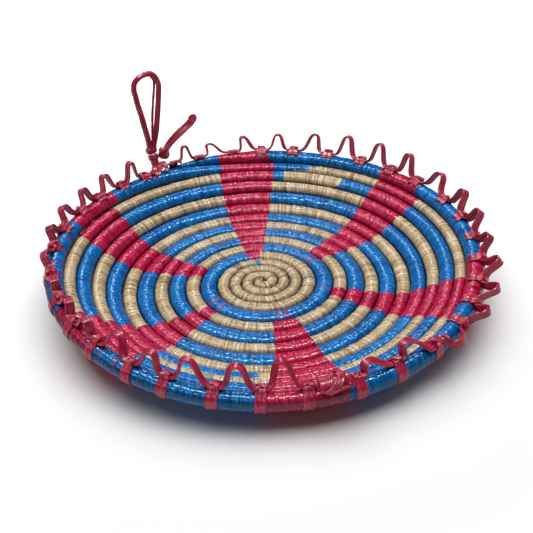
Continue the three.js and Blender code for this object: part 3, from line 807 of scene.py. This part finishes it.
def addRibbon(parts, points, across, widths, thickness, seed, twists=None):
    points = np.asarray(points, float)
    widths = np.broadcast_to(np.asarray(widths, float), (len(points),))
    rings = ribbonRings(points, across, widths, thickness, twists)
    around = np.linspace(0.0, 2.0 * widths.mean(), rings.shape[1] + 1)
    places = gridPlaces(pathLength(points), around, np.full(len(points), seed))
    parts.addLoft(rings, places[:, [1, 0, 2]])  # fibres run along the ribbon


tieShape = {
    "rows": 30, "columns": 15,
    # degrees round the rim that a tie covers, and the same where the rim coil lies double. Below, it stops
    # short of the place where the rim coil meets the turn inside it.
    "mouth": 38.0, "top": 122.0, "topPastStrip": 26.0, "doubledBottom": -84.0, "doubledTop": 96.0,
    "pinch": 0.72,  # share of the width where it crosses the strip
    # what each side gains: share of the width, degrees from the strip to its start and degrees it takes
    "outerFlare": (0.22, 12.0, 24.0), "innerFlare": (0.36, 9.0, 16.0),
    # it lies flat on the strip, then comes down to the rim: degrees from the strip, and the rest in mm
    "flatHalf": 18.0, "flatFade": 15.0, "flatMost": 24.0, "rimGap": 0.2, "meanReach": 7.5,
    "cornerDrop": 13.0, "endHollow": 5.0, "endPart": 34.0,  # degrees, the inner end's two corners hang lower
    "section": [(0.0, 1.0), (0.86, 0.85), (1.0, 0.15)],  # from its middle to its edge: share, thickness
    "underside": [0.9, 0.3, -0.3, -0.9],
    "grooves": [-0.45, 0.05, 0.5], "grooveWander": 0.3, "grooveSlant": 0.5, "grooveDepth": 0.5,
    "grooveWidth": 0.13, "skew": 1.8,
    # ribbons folded over it: from and to, each a share across the tie and degrees from the strip
    "folds": [(-0.95, -20.0, 0.8, 13.0), (0.95, -13.0, -0.75, 19.0)],
    "foldRows": 9, "foldWidth": 2.7, "foldThickness": 1.0, "foldSpread": 4.0,
    "foldRise": 0.5, "foldRiseMore": 0.4,  # mm, the second lies over the first
    "leftOut": 0.4,  # share of the ties that have no second fold
    "legThickness": 1.1, "legWidths": [(0.0, 0.8), (0.5, 1.0), (0.8, 0.9), (1.0, 0.25)],
    "legFall": (12.0, 34.0),  # degrees from the strip
}


def buildTie(name, node, azimuth, lean, width, seed, legs=()):
    # A flat band that flares below the strip, is drawn in where it crosses it, and ends in two points inside.
    random = np.random.default_rng(seed)
    seat = 90.0 - lean
    doubled = atRimEnd(azimuth)
    top = max(seat + tieShape["topPastStrip"], tieShape["doubledTop"] if doubled else tieShape["top"])
    bottom = tieShape["doubledBottom"] if doubled else dish["rimAngle"] + tieShape["mouth"] - 180.0
    angles = np.linspace(bottom, top, tieShape["rows"])
    middle, out, along = rimFrame(azimuth)
    shares = np.linspace(-1.0, 1.0, tieShape["columns"])
    grooves = np.array(tieShape["grooves"]) + (random.random(3) - 0.5) * tieShape["grooveWander"]
    slants = (random.random(3) - 0.5) * tieShape["grooveSlant"]
    skew = (random.random() - 0.5) * tieShape["skew"]

    def wayAt(angle):
        return spreadOut(out, np.cos(np.radians(angle))) + spreadOut(upright, np.sin(np.radians(angle)))

    def place(share, angle, height):
        # share across the tie, angle round the rim, height over the band's own underside
        off = np.abs(angle - seat)
        flatTop = tieReach / np.cos(np.radians(np.minimum(off, tieShape["flatMost"])))
        plain = rimRadius + tieShape["rimGap"]
        rounded = ease((off - tieShape["flatHalf"]) / tieShape["flatFade"])
        reach = plain + (flatTop - plain) * (1.0 - rounded) + height
        flare = tieShape["pinch"]
        for past, side in ((seat - angle, "outerFlare"), (angle - seat, "innerFlare")):
            gain, start, over = tieShape[side]
            flare = flare + gain * ease((past - start) / over)
        aside = share * width / 2.0 * flare + skew * (angle - seat) / 90.0
        return middle + spreadOut(wayAt(angle), reach) + spreadOut(along, aside)

    def hanging(share, angle):
        late = ease((angle - top + tieShape["endPart"]) / tieShape["endPart"])
        return angle + late * (tieShape["cornerDrop"] * share ** 2 - tieShape["endHollow"])

    under = np.array(tieShape["underside"])
    rings = []
    for angle in angles:
        pleat = np.ones(len(shares))
        for groove, slant in zip(grooves, slants):
            off = shares - groove - slant * (angle - seat) / 45.0
            pleat -= tieShape["grooveDepth"] * np.exp(-(off / tieShape["grooveWidth"]) ** 2)
        pleat *= np.interp(np.abs(shares), *zip(*tieShape["section"]))
        outerSide = place(shares, hanging(shares, angle), pleat * edging["tieThickness"])
        rings.append(np.concatenate([outerSide, place(under, hanging(under, angle), np.zeros(len(under)))]))
    rings = np.array(rings)
    aroundMm = np.linspace(0.0, 2.0 * width, rings.shape[1] + 1)
    alongMm = np.radians(angles - bottom) * tieShape["meanReach"]
    places = gridPlaces(alongMm, aroundMm, np.full(len(angles), random.random()))
    parts = RaffiaParts()
    parts.addLoft(rings, places[:, [1, 0, 2]])
    for index, (fromShare, fromOff, toShare, toOff) in enumerate(tieShape["folds"]):
        if doubled or (index and random.random() < tieShape["leftOut"]):
            continue
        step = np.linspace(0.0, 1.0, tieShape["foldRows"])
        mirror = 1.0 if seed % 2 else -1.0
        share = mirror * (fromShare + (toShare - fromShare) * step)
        spread = tieShape["foldSpread"] * (random.random() - 0.5)
        angle = seat + fromOff + (toOff - fromOff) * step + spread
        rise = tieShape["foldRise"] + tieShape["foldRiseMore"] * index
        height = edging["tieThickness"] + 0.1 + rise * np.sin(math.pi * step) ** 0.6
        points = place(share, angle, height)
        outward = unit(points - middle - spreadOut(along, (points - middle) @ along))
        across = np.cross(unit(np.gradient(points, axis=0)), outward)
        widths = tieShape["foldWidth"] * (0.55 + 0.45 * np.sin(math.pi * step) ** 0.5)
        addRibbon(parts, points, across, widths, tieShape["foldThickness"], random.random())
    for legWidth, path in legs:
        # each comes down from the strip's height to the rim coil
        path = splineThrough(path, 6)
        ways = wayAt(path[:, 1])
        fall = [seat + offset for offset in tieShape["legFall"]]
        fallen = np.interp(path[:, 1], fall, [tieReach + 0.9, rimRadius + 1.1])
        points = middle + spreadOut(ways, fallen + path[:, 2]) + spreadOut(along, path[:, 0])
        across = np.cross(unit(np.gradient(points, axis=0)), ways)
        step = np.linspace(0.0, 1.0, len(path))
        widths = legWidth * np.interp(step, *zip(*tieShape["legWidths"]))
        addRibbon(parts, points, across, widths, tieShape["legThickness"], random.random())
    parts.build(name, [node], [crimsonRaffia])


for tie, azimuth in enumerate(edging["tieAzimuths"]):
    tieName, tieNode = f"rimTie{tie + 1:02d}", f"rim_tie_{tie + 1:02d}"
    buildTie(tieName, tieNode, azimuth % 360, tieLean(tie), edging["tieShownWidth"], 200 + tie)
print("ties done")

halfOutline = splineThrough(edging["loopOutline"], 2)
tieHalfAngle = math.degrees((edging["tieWidth"] / 2.0 + 1.0) / rimCircle)


def stripStation(azimuth, reach, lean, twist=0.0):
    middle, out, _ = rimFrame(azimuth)
    rise, across = leaning(out, lean)
    return middle + rise * reach, across, twist


def easedPart(share, part):
    start, over = edging[part]
    return float(ease((share - start) / over))


def loopStations(slot):
    lean, reach, sway = edging["loops"][slot]
    start, end = edging["tieAzimuths"][slot], edging["tieAzimuths"][slot + 1]
    facing = -math.sin(math.radians((start + end) / 2.0))
    front = 0.5 + 0.5 * facing
    turned = edging["backTwist"] + (edging["frontTwist"] - edging["backTwist"]) * front
    stations = []
    for side in (-1, 1):
        tieSide = tieLean(slot if side < 0 else slot + 1)
        half = halfOutline[::-1] if side < 0 else halfOutline[1:]
        for x, y in half:
            spread = x * (1.0 + edging["frontSpread"] * front * (1.0 - x * x))
            swayed = math.degrees(sway * y / rimCircle)
            azimuth = (start + end) / 2.0 + side * spread * (end - start) / 2.0 + swayed
            height = max(ribbonSeat + (reach - ribbonSeat) * y, ribbonSeat)
            loopLean = lean + (tieSide - lean) * easedPart(spread, "tieLeanPart")
            twist = turned * (1.0 - edging["topUntwist"] * easedPart(y, "untwistPart"))
            twist -= side * edging["legTwist"] * facing * (1.0 - easedPart(y, "legPart"))
            twist *= float(ease(y / edging["footPart"]))
            stations.append(stripStation(azimuth, height, loopLean, twist))
    return stations


def buildStrip():
    ties = edging["tieAzimuths"]
    knotSlot = edging["knotSlot"]
    slots = len(edging["loops"])
    stations = [stripStation(ties[knotSlot + 1] - tieHalfAngle, ribbonSeat, tieLean(knotSlot + 1))]
    for count in range(1, slots):
        slot = (knotSlot + count) % slots
        if slot == 0:  # flat on the rim between the last tie and the first, under the hanger
            last, first = ties[slots], ties[0] + 360
            for azimuth in (last, last + (first - last) / 2.0):
                stations.append(stripStation(azimuth, ribbonSeat, tieLean(slots)))
            for azimuth in (first - 1.2 * tieHalfAngle, first):
                stations.append(stripStation(azimuth, ribbonSeat, tieLean(0)))
        stations += loopStations(slot)
    stations.append(stripStation(ties[knotSlot] + tieHalfAngle, ribbonSeat, tieLean(knotSlot)))
    points, across, twists = (np.array(values) for values in zip(*stations))
    length = pathLength(points)
    waves = sum(size * np.sin(length / slow + start) for size, slow, start in edging["widthWaves"])
    widths = edging["ribbonWidth"] * (edging["meanWidth"] + waves)
    sideShare = points[:, 0] ** 2 / (points[:, 0] ** 2 + points[:, 1] ** 2)
    widths = widths * (1.0 + edging["sideWiden"] * sideShare)
    size, slow, start = edging["twistWave"]
    twists = np.radians(twists) + np.radians(size) * np.sin(length / slow + start)
    parts = RaffiaParts()
    addRibbon(parts, points, across, widths, edging["ribbonThickness"], 0.3, twists)
    parts.build("edgingStrip", ["edging_strip"], [crimsonRaffia])


buildStrip()
print("edging strip done")


def fromEnds(count):
    # Steps from the nearer end of a path.
    return np.minimum(np.arange(count), np.arange(count)[::-1])


grooveDark = 0.8  # how dark the grooves of the knots and cords are

# The knot of the strip's two ends
endKnot = {
    "height": 7.4, "width": 12.5, "lean": 8.0, "endShare": 0.66, "fullness": 0.6, "core": 0.84,
    "rows": 34, "sides": 48, "pleats": 5, "pleatDepth": 0.13, "pleatClimb": 1.4, "endGap": 0.15,
    "length": 21.0, "girth": 32.0,  # mm
    # ribbons folded over it: width, height over the core, then place along the knot and angle round it
    "ribbons": [
        (5.2, 0.3, [(0.1, 165), (0.13, 125), (0.13, 80), (0.12, 30), (0.11, -15), (0.12, -45)]),
        (4.6, 0.3, [(0.9, 150), (0.87, 110), (0.86, 60), (0.9, 15), (0.93, -20)]),
        (3.6, 0.9, [(0.24, 20), (0.27, 60), (0.36, 105), (0.48, 142), (0.64, 146), (0.74, 112), (0.72, 75)]),
        (5.0, 1.1, [(0.72, 142), (0.69, 95), (0.6, 58), (0.44, 30), (0.26, 0), (0.1, -22)]),
        (3.4, 0.8, [(0.7, 120), (0.82, 88), (0.93, 50), (0.94, 22), (0.8, 12)]),
        (2.4, 0.9, [(0.06, -34), (0.28, -16), (0.52, -2), (0.74, 8), (0.96, -2)]),
    ],
    "ribbonThickness": 1.2, "ribbonRise": 0.5,
    "dip": 1.2, "narrowed": 0.3, "dipSteps": 4.0,  # each end of a ribbon dips into the core and narrows
}


def buildEndKnot():
    # The strip's two ends, bunched together under folded ribbons.
    ties, knotSlot = edging["tieAzimuths"], edging["knotSlot"]
    start = ties[knotSlot] + tieHalfAngle + endKnot["endGap"]
    end = ties[knotSlot + 1] - tieHalfAngle - endKnot["endGap"]

    def place(share, degrees, lift, grow=endKnot["core"]):
        middle, out, _ = rimFrame(start + (end - start) * share)
        rise, across = leaning(out, endKnot["lean"])
        bulge = math.sin(math.pi * min(max(share, 0.0), 1.0)) ** endKnot["fullness"]
        swell = endKnot["endShare"] + (1.0 - endKnot["endShare"]) * bulge
        high, wide = endKnot["height"] * swell / 2.0, endKnot["width"] * swell / 2.0
        angle = math.radians(degrees)
        centre = middle + rise * (rimRadius + edging["tieClearance"] + high)
        up = rise * math.sin(angle) * (high * grow + lift)
        return centre + up + across * math.cos(angle) * (wide * grow + lift)

    turns = np.linspace(0.0, 360.0, endKnot["sides"], endpoint=False)
    rings, joints = [], []
    for share in np.linspace(0.0, 1.0, endKnot["rows"]):
        phase = (turns / 360.0 * endKnot["pleats"] + share * endKnot["pleatClimb"]) % 1.0
        grown = endKnot["core"] * (1.0 - endKnot["pleatDepth"] * phase)
        rings.append([place(share, turn, 0.0, grow) for turn, grow in zip(turns, grown)])
        joints.append(np.clip(phase * 3.0 - 2.0, 0.0, 1.0) * grooveDark)
    along = np.linspace(0.0, endKnot["length"], endKnot["rows"])
    around = np.linspace(0.0, endKnot["girth"], endKnot["sides"] + 1)
    places = gridPlaces(along, around, np.full(endKnot["rows"], 0.2))
    parts = RaffiaParts()
    parts.addLoft(np.array(rings), places[:, [1, 0, 2]], np.array(joints))
    for index, (width, lift, path) in enumerate(endKnot["ribbons"]):
        path = splineThrough(path, 6)
        whole = ease(fromEnds(len(path)) / endKnot["dipSteps"])
        lifts = lift + endKnot["ribbonRise"] - endKnot["dip"] * (1.0 - whole)
        points = np.array([place(*spot, height) for spot, height in zip(path, lifts)])
        outer = np.array([place(*spot, height + 1.0) for spot, height in zip(path, lifts)])
        across = np.cross(unit(np.gradient(points, axis=0)), unit(outer - points))
        widths = width * (1.0 - endKnot["narrowed"] * (1.0 - whole))
        addRibbon(parts, points, across, widths, endKnot["ribbonThickness"], 0.13 * index + 0.1)
    parts.build("edgingEndKnot", ["edging_end_knot"], [crimsonRaffia])


buildEndKnot()

# Knots and the hanging loop
hanger = {
    "azimuth": 123.5, "bandWidth": 7.0, "knotRadius": 4.0, "knotHeight": 9.0, "cord": 3.8,
    "sink": 1.1, "loopSink": 0.5,  # how far the knot and the loop sit down on the band
    # legs of the band: width, then places along the rim, angle round it and height over the band
    "legs": [
        (4.6, [(-3.4, 72, 1.7), (-1.8, 92, 1.6), (0.8, 112, 1.3), (3.6, 132, 1.0), (5.8, 152, 0.5)]),
        (3.6, [(1.8, 72, 1.3), (3.2, 92, 0.9), (4.6, 108, 0.5), (5.4, 122, 0.3)]),
        (3.8, [(-5.6, 68, 1.4), (-6.2, 90, 1.2), (-5.6, 112, 0.8), (-4.6, 134, 0.4)]),
    ],
    # the wound knot: share of its height and of its radius, with a second ring above
    "barrel": [
        (0.0, 0.6), (0.04, 0.7), (0.3, 0.82), (0.5, 0.84), (0.54, 0.94), (0.6, 1.04), (0.9, 1.04),
        (0.97, 0.95), (1.0, 0.7),
    ],
    "knotTaller": 0.3, "rows": 40, "sides": 24, "windings": 2.2, "grooveWidth": 0.1, "grooveDepth": 0.12,
    "knotGirth": 24.0,
    # outlines: along the rim and up
    "outline": [
        (-0.6, 0), (0.8, 1.4), (1.6, 8), (3.4, 20), (6.4, 36), (8.4, 47.5), (9.2, 53), (8.8, 57.6), (6.4, 61),
        (1.6, 63.2), (-4.2, 63.6), (-8.6, 60.8), (-11.2, 56), (-11.8, 50), (-10.4, 41), (-7.4, 22), (-3.8, 8),
        (-2, 1.4),
    ],
    "innerStrand": [
        (-1.6, 4), (-2.6, 12), (-3.8, 24), (-5.6, 37), (-7.6, 48), (-8.4, 54), (-7.8, 58.4), (-5, 61.4),
    ],
    "innerRadius": 1.1, "innerBow": 0.9, "innerBowPart": (0.4, 2.6),  # radians of a sine
    "innerEnd": 0.3, "innerEndSteps": 3.0,  # its ends taper to this share
    "cordSwell": [(0, 1.22), (30, 1.26), (66, 1.2)],  # height on the loop, share of the cord's radius
    # the roll round the loop's foot, rounded toward its ends
    "rollHalf": 4.1, "rollRadius": 3.0, "rollRounding": 0.35, "rollPower": 6,
    # the ball knot: its height over the band, its cord, and how it is stretched through and upward
    "ballRadius": 5.0, "ballRise": 6.3, "ballCord": 2.15, "ballDepth": 2.2, "ballTaller": 0.28,
    "ballWay": (0.25, 0.5, 0.85), "ballSteps": 96,
    "tail": [(0, 0), (-4, 4.2), (-10.5, 8.6), (-17.5, 12.4), (-23.5, 16), (-27.5, 20)],
    "tailSunk": 1.2,  # how far it starts inside the ball
    "tailFacing": (0.1, -0.85, 0.5), "tailRibbon": 3.1, "tailThickness": 1.6,
    # half the distance between its two ribbons along it, and the fold at its tip
    "tailGap": [(0.0, 0.9), (0.2, 1.3), (0.5, 1.55), (0.8, 1.45), (1.0, 1.3)], "tailWiden": 0.1,
    "foldWiden": 2.15, "foldThickness": 2.6, "foldRows": 12,
    "foldPart": (-0.16, 0.05),  # where the fold lies, as shares of the tail
}
hangerLean = leanOf(len(edging["loops"]) - 1)
hangerMiddle, hangerOut, hangerAlong = rimFrame(hanger["azimuth"])
hangerRise, hangerAcross = leaning(hangerOut, hangerLean)
bandTop = stripSeat + edging["stripThickness"] / 2.0 + edging["clearance"] + edging["tieThickness"]
knotBase = hangerMiddle + hangerRise * (bandTop + edging["clearance"])
pivotHeight = bandTop + edging["clearance"] + hanger["knotHeight"] + edging["tieClearance"]
pivot = hangerMiddle + hangerRise * (pivotHeight + hanger["cord"] / 2.0)
ballAside = hanger["knotRadius"] + hanger["ballRadius"] + edging["clearance"]
ballCentre = knotBase + hangerRise * hanger["ballRise"] - hangerAlong * ballAside


def atHanger(base, outline):
    outline = np.asarray(outline, float)
    return base + hangerAlong * outline[:, :1] + upright * outline[:, 1:2]


def carriedFrames(points, closed=False):
    # Normals and binormals carried along a path without twisting.
    if closed:
        tangent = unit(np.roll(points, -1, axis=0) - np.roll(points, 1, axis=0))
    else:
        tangent = unit(np.gradient(points, axis=0))
    normals = [unit(np.cross(tangent[0], [0.3, 0.9, 0.2]))]
    for way in tangent[1:]:
        normals.append(unit(normals[-1] - way * np.dot(normals[-1], way)))
    normals = np.array(normals)
    binormals = np.cross(tangent, normals)
    if closed:
        carried = normals[-1] - tangent[0] * np.dot(normals[-1], tangent[0])
        miss = math.atan2(np.dot(carried, binormals[0]), np.dot(carried, normals[0]))
        turn = -miss * np.arange(len(points)) / len(points)
        turned = spreadOut(normals, np.cos(turn)) + spreadOut(binormals, np.sin(turn))
        binormals = spreadOut(binormals, np.cos(turn)) - spreadOut(normals, np.sin(turn))
        normals = turned
    return normals, binormals


def addCord(parts, points, radii, lobes, twistTurns, seed, closed=False, flat=1.0, sides=14, depth=0.16):
    # A twisted raffia cord with so many strands, which wind so many turns over its length.
    points = np.asarray(points, float)
    normals, binormals = carriedFrames(points, closed)
    radii = np.broadcast_to(np.asarray(radii, float), (len(points),))
    turn = 2.0 * math.pi * twistTurns * np.arange(len(points)) / len(points)
    angle = 2.0 * math.pi * np.arange(sides) / sides
    lobe = np.abs(np.cos(lobes * (angle[None, :] - turn[:, None]) / 2.0))
    swell = 1.0 - depth * (1.0 - lobe) ** 2 * 1.6
    u = np.cos(angle)[None, :] * swell * radii[:, None]
    v = np.sin(angle)[None, :] * swell * radii[:, None] * flat
    rings = points[:, None, :] + normals[:, None, :] * u[..., None] + binormals[:, None, :] * v[..., None]
    joints = np.clip(1.0 - lobe * 4.0, 0.0, 1.0) * grooveDark
    around = np.linspace(0, 2.0 * math.pi * radii.mean(), sides + 1)
    places = gridPlaces(pathLength(points), around, np.full(len(points), seed), closed)
    parts.addLoft(rings, places[:, [1, 0, 2]], joints, closedRows=closed)


def buildHangerKnot():
    # Ribbon wound round the loop's ends: one barrel whose grooves climb as a helix.
    heights = np.linspace(0.0, 1.0, hanger["rows"])
    barrel = np.interp(heights, *zip(*hanger["barrel"]))
    angle = 2.0 * math.pi * np.arange(hanger["sides"]) / hanger["sides"]
    climb = (heights[:, None] * hanger["windings"] + angle[None, :] / (2.0 * math.pi) * 2.0) % 1.0
    groove = np.exp(-(np.minimum(climb, 1.0 - climb) / hanger["grooveWidth"]) ** 2)
    radius = hanger["knotRadius"] * barrel[:, None] * (1.0 - hanger["grooveDepth"] * groove)
    raised = heights * (hanger["knotHeight"] + hanger["knotTaller"]) - hanger["sink"]
    rings = (knotBase + hangerRise * raised[:, None, None]
             + hangerAlong * (np.cos(angle)[None, :] * radius)[..., None]
             + hangerAcross * (np.sin(angle)[None, :] * radius)[..., None])
    around = np.linspace(0, hanger["knotGirth"], hanger["sides"] + 1)
    places = gridPlaces(heights * hanger["knotHeight"], around, np.full(hanger["rows"], 0.6))
    parts = RaffiaParts()
    parts.addLoft(rings, places, groove * grooveDark)
    parts.build("hangerKnot", ["hanger_knot"], [crimsonRaffia])


def buildHangingLoop():
    foot = pivot - upright * hanger["loopSink"]
    parts = RaffiaParts()
    outer = splineThrough(atHanger(foot, hanger["outline"]), 7, closed=True)
    thick = hanger["cord"] / 2.0 * np.interp((outer - pivot) @ upright, *zip(*hanger["cordSwell"]))
    addCord(parts, outer, thick, lobes=3, twistTurns=4, seed=0.15, closed=True, flat=0.95, depth=0.1)
    inner = splineThrough(atHanger(foot, hanger["innerStrand"]), 8)
    bow = np.sin(np.linspace(*hanger["innerBowPart"], len(inner)))
    inner = inner + hangerAcross * hanger["innerBow"] * bow[:, None]
    taper = np.clip(hanger["innerEnd"] + fromEnds(len(inner)) / hanger["innerEndSteps"], None, 1.0)
    addCord(parts, inner, hanger["innerRadius"] * taper, lobes=2, twistTurns=3, seed=0.55, flat=0.8)
    # the wrap round its foot, a roll on the hinge line
    step = np.linspace(-1.0, 1.0, 15)
    roll = pivot + spreadOut(hangerAlong, step * hanger["rollHalf"])
    rollRadii = hanger["rollRadius"] * (1.0 - hanger["rollRounding"] * np.abs(step) ** hanger["rollPower"])
    addCord(parts, roll, rollRadii, lobes=4, twistTurns=0.6, seed=0.35, sides=20, depth=0.07)
    parts.build("hangingLoop", ["hanging_loop"], [crimsonRaffia], body="hanging_loop")


def buildBallKnot():
    # A tight overhand knot: a trefoil drawn up close.
    t = np.linspace(0.0, 2.0 * math.pi, hanger["ballSteps"], endpoint=False)
    x, y, z = np.sin(t) + 2.0 * np.sin(2 * t), np.cos(t) - 2.0 * np.cos(2 * t), -np.sin(3 * t)
    scale = (hanger["ballRadius"] - hanger["ballCord"]) / 3.0
    way = unit(np.array(hanger["ballWay"]))
    first = unit(np.cross(way, [1.0, 0.2, 0.0]))
    second = np.cross(way, first)
    points = scale * (first * x[:, None] + second * y[:, None] + way * z[:, None] * hanger["ballDepth"])
    points = ballCentre + points + spreadOut(upright, hanger["ballTaller"] * points @ upright)
    parts = RaffiaParts()
    addCord(parts, points, hanger["ballCord"], lobes=3, twistTurns=2, seed=0.8, closed=True, flat=0.95)
    parts.build("ballKnot", ["ball_knot"], [crimsonRaffia])


def buildTail():
    # The spare end: a ribbon laid double, its fold at the tip.
    outside = hanger["ballRadius"] + edging["clearance"]
    way = unit(np.array(hanger["tail"][1], float)) * (outside - hanger["tailSunk"])
    root = ballCentre + hangerAlong * way[0] + upright * way[1]
    spine = splineThrough(atHanger(root, hanger["tail"]), 8)
    share = np.linspace(0.0, 1.0, len(spine))
    aside = np.cross(unit(np.gradient(spine, axis=0)), unit(np.array(hanger["tailFacing"])))
    gap = np.interp(share, *zip(*hanger["tailGap"]))
    widths = hanger["tailRibbon"] * (1.0 - hanger["tailWiden"] * (1.0 - share))
    parts = RaffiaParts()
    for side, seed in ((1.0, 0.9), (-1.0, 0.2)):
        addRibbon(parts, spine + spreadOut(aside, side * gap), aside, widths, hanger["tailThickness"], seed)
    rows = hanger["foldRows"]
    fold = spine[-1] + spreadOut(spine[-1] - spine[0], np.linspace(*hanger["foldPart"], rows))
    rounded = np.sqrt(np.clip(1.0 - np.linspace(-0.96, 0.98, rows) ** 2, 0.05, 1.0))
    foldWidths = hanger["foldWiden"] * hanger["tailRibbon"] * rounded
    addRibbon(parts, fold, np.repeat(aside[-1:], rows, axis=0), foldWidths, hanger["foldThickness"], 0.5)
    parts.build("knotTail", ["knot_tail"], [crimsonRaffia])


buildTie("hangerBand", "hanger_band", hanger["azimuth"], hangerLean, hanger["bandWidth"], 310, hanger["legs"])
buildHangerKnot()
buildHangingLoop()
buildBallKnot()
buildTail()
print("knots and hanging loop done")

# Floor, backdrop and light
studio = {
    "floorColour": (0.9, 0.9, 0.9, 1.0), "floorRoughness": 0.9, "floorSpecular": 0.1, "worldLight": 0.07,
    "floorHalf": 3.0, "floorDrop": 0.0004,
    "glowFrom": 0.23, "glowTo": 0.42,  # metres from the middle, where the floor turns plain white
    "lamps": [
        # name, place, size, watts, whether it lights the matt colour, otherwise the gloss
        ("softBox", (-0.06, 0.2, 1.0), 1.4, 19.5, True),
        ("topLamp", (-0.02, -0.1, 1.1), 0.05, 13.0, False),
        ("backLamp", (-0.1, 1.0, 0.9), 0.05, 4.0, False),
        ("sideLamp", (-0.7, -0.5, 0.7), 0.08, 2.5, False),
    ],
}
for name, place, size, watts, isSoft in studio["lamps"]:
    lamp = bpy.data.lights.new(name, "AREA")
    lamp.shape = "SQUARE"
    lamp.size = size
    lamp.energy = watts
    lampObject = bpy.data.objects.new(name, lamp)
    lampObject.location = place
    lampObject.rotation_euler = (-Vector(place)).to_track_quat("-Z", "Y").to_euler()
    lampObject.visible_diffuse = isSoft
    lampObject.visible_glossy = not isSoft
    bpy.context.scene.collection.objects.link(lampObject)

floorHalf = studio["floorHalf"]
floorCorners = [(x * floorHalf, y * floorHalf, 0) for x, y in ((-1, -1), (1, -1), (1, 1), (-1, 1))]
floorMesh = bpy.data.meshes.new("studioFloor")
floorMesh.from_pydata(floorCorners, [], [(0, 1, 2, 3)])
floor = bpy.data.objects.new("studioFloor", floorMesh)
floor.location = (0.0, 0.0, -studio["floorDrop"])
bpy.context.scene.collection.objects.link(floor)
floorMaterial = bpy.data.materials.new("paleFloor")
floorMaterial.use_nodes = True
floorTree = floorMaterial.node_tree
floorShader = floorTree.nodes["Principled BSDF"]
floorShader.inputs["Base Color"].default_value = studio["floorColour"]
floorShader.inputs["Roughness"].default_value = studio["floorRoughness"]
floorShader.inputs["Specular IOR Level"].default_value = studio["floorSpecular"]
floorPlace = floorTree.nodes.new("ShaderNodeTexCoord")
fromMiddle = floorTree.nodes.new("ShaderNodeVectorMath")
fromMiddle.operation = "LENGTH"
floorTree.links.new(floorPlace.outputs["Object"], fromMiddle.inputs[0])
glowShare = mapRange(
    floorTree, fromMiddle.outputs["Value"], {"From Min": studio["glowFrom"], "From Max": studio["glowTo"]}
)
glowShare.node.interpolation_type = "SMOOTHSTEP"
onlySeen = floorTree.nodes.new("ShaderNodeLightPath")
glow = floorTree.nodes.new("ShaderNodeEmission")
glowSeen = mathNode(floorTree, "MULTIPLY", glowShare, onlySeen.outputs["Is Camera Ray"])
floorTree.links.new(glowSeen, glow.inputs["Strength"])
added = floorTree.nodes.new("ShaderNodeAddShader")
floorTree.links.new(floorShader.outputs[0], added.inputs[0])
floorTree.links.new(glow.outputs[0], added.inputs[1])
floorTree.links.new(added.outputs[0], floorTree.nodes["Material Output"].inputs["Surface"])
floorMesh.materials.append(floorMaterial)

world = bpy.data.worlds.new("softStudio")
bpy.context.scene.world = world
world.use_nodes = True
background = world.node_tree.nodes["Background"]
background.inputs["Color"].default_value = (1.0, 1.0, 1.0, 1.0)
seenRay = world.node_tree.nodes.new("ShaderNodeLightPath")
strength = mapRange(
    world.node_tree, seenRay.outputs["Is Camera Ray"], {"To Min": studio["worldLight"], "To Max": 1.0}
)
world.node_tree.links.new(strength, background.inputs["Strength"])
bpy.context.scene.view_settings.view_transform = "Standard"
print("studio ready")
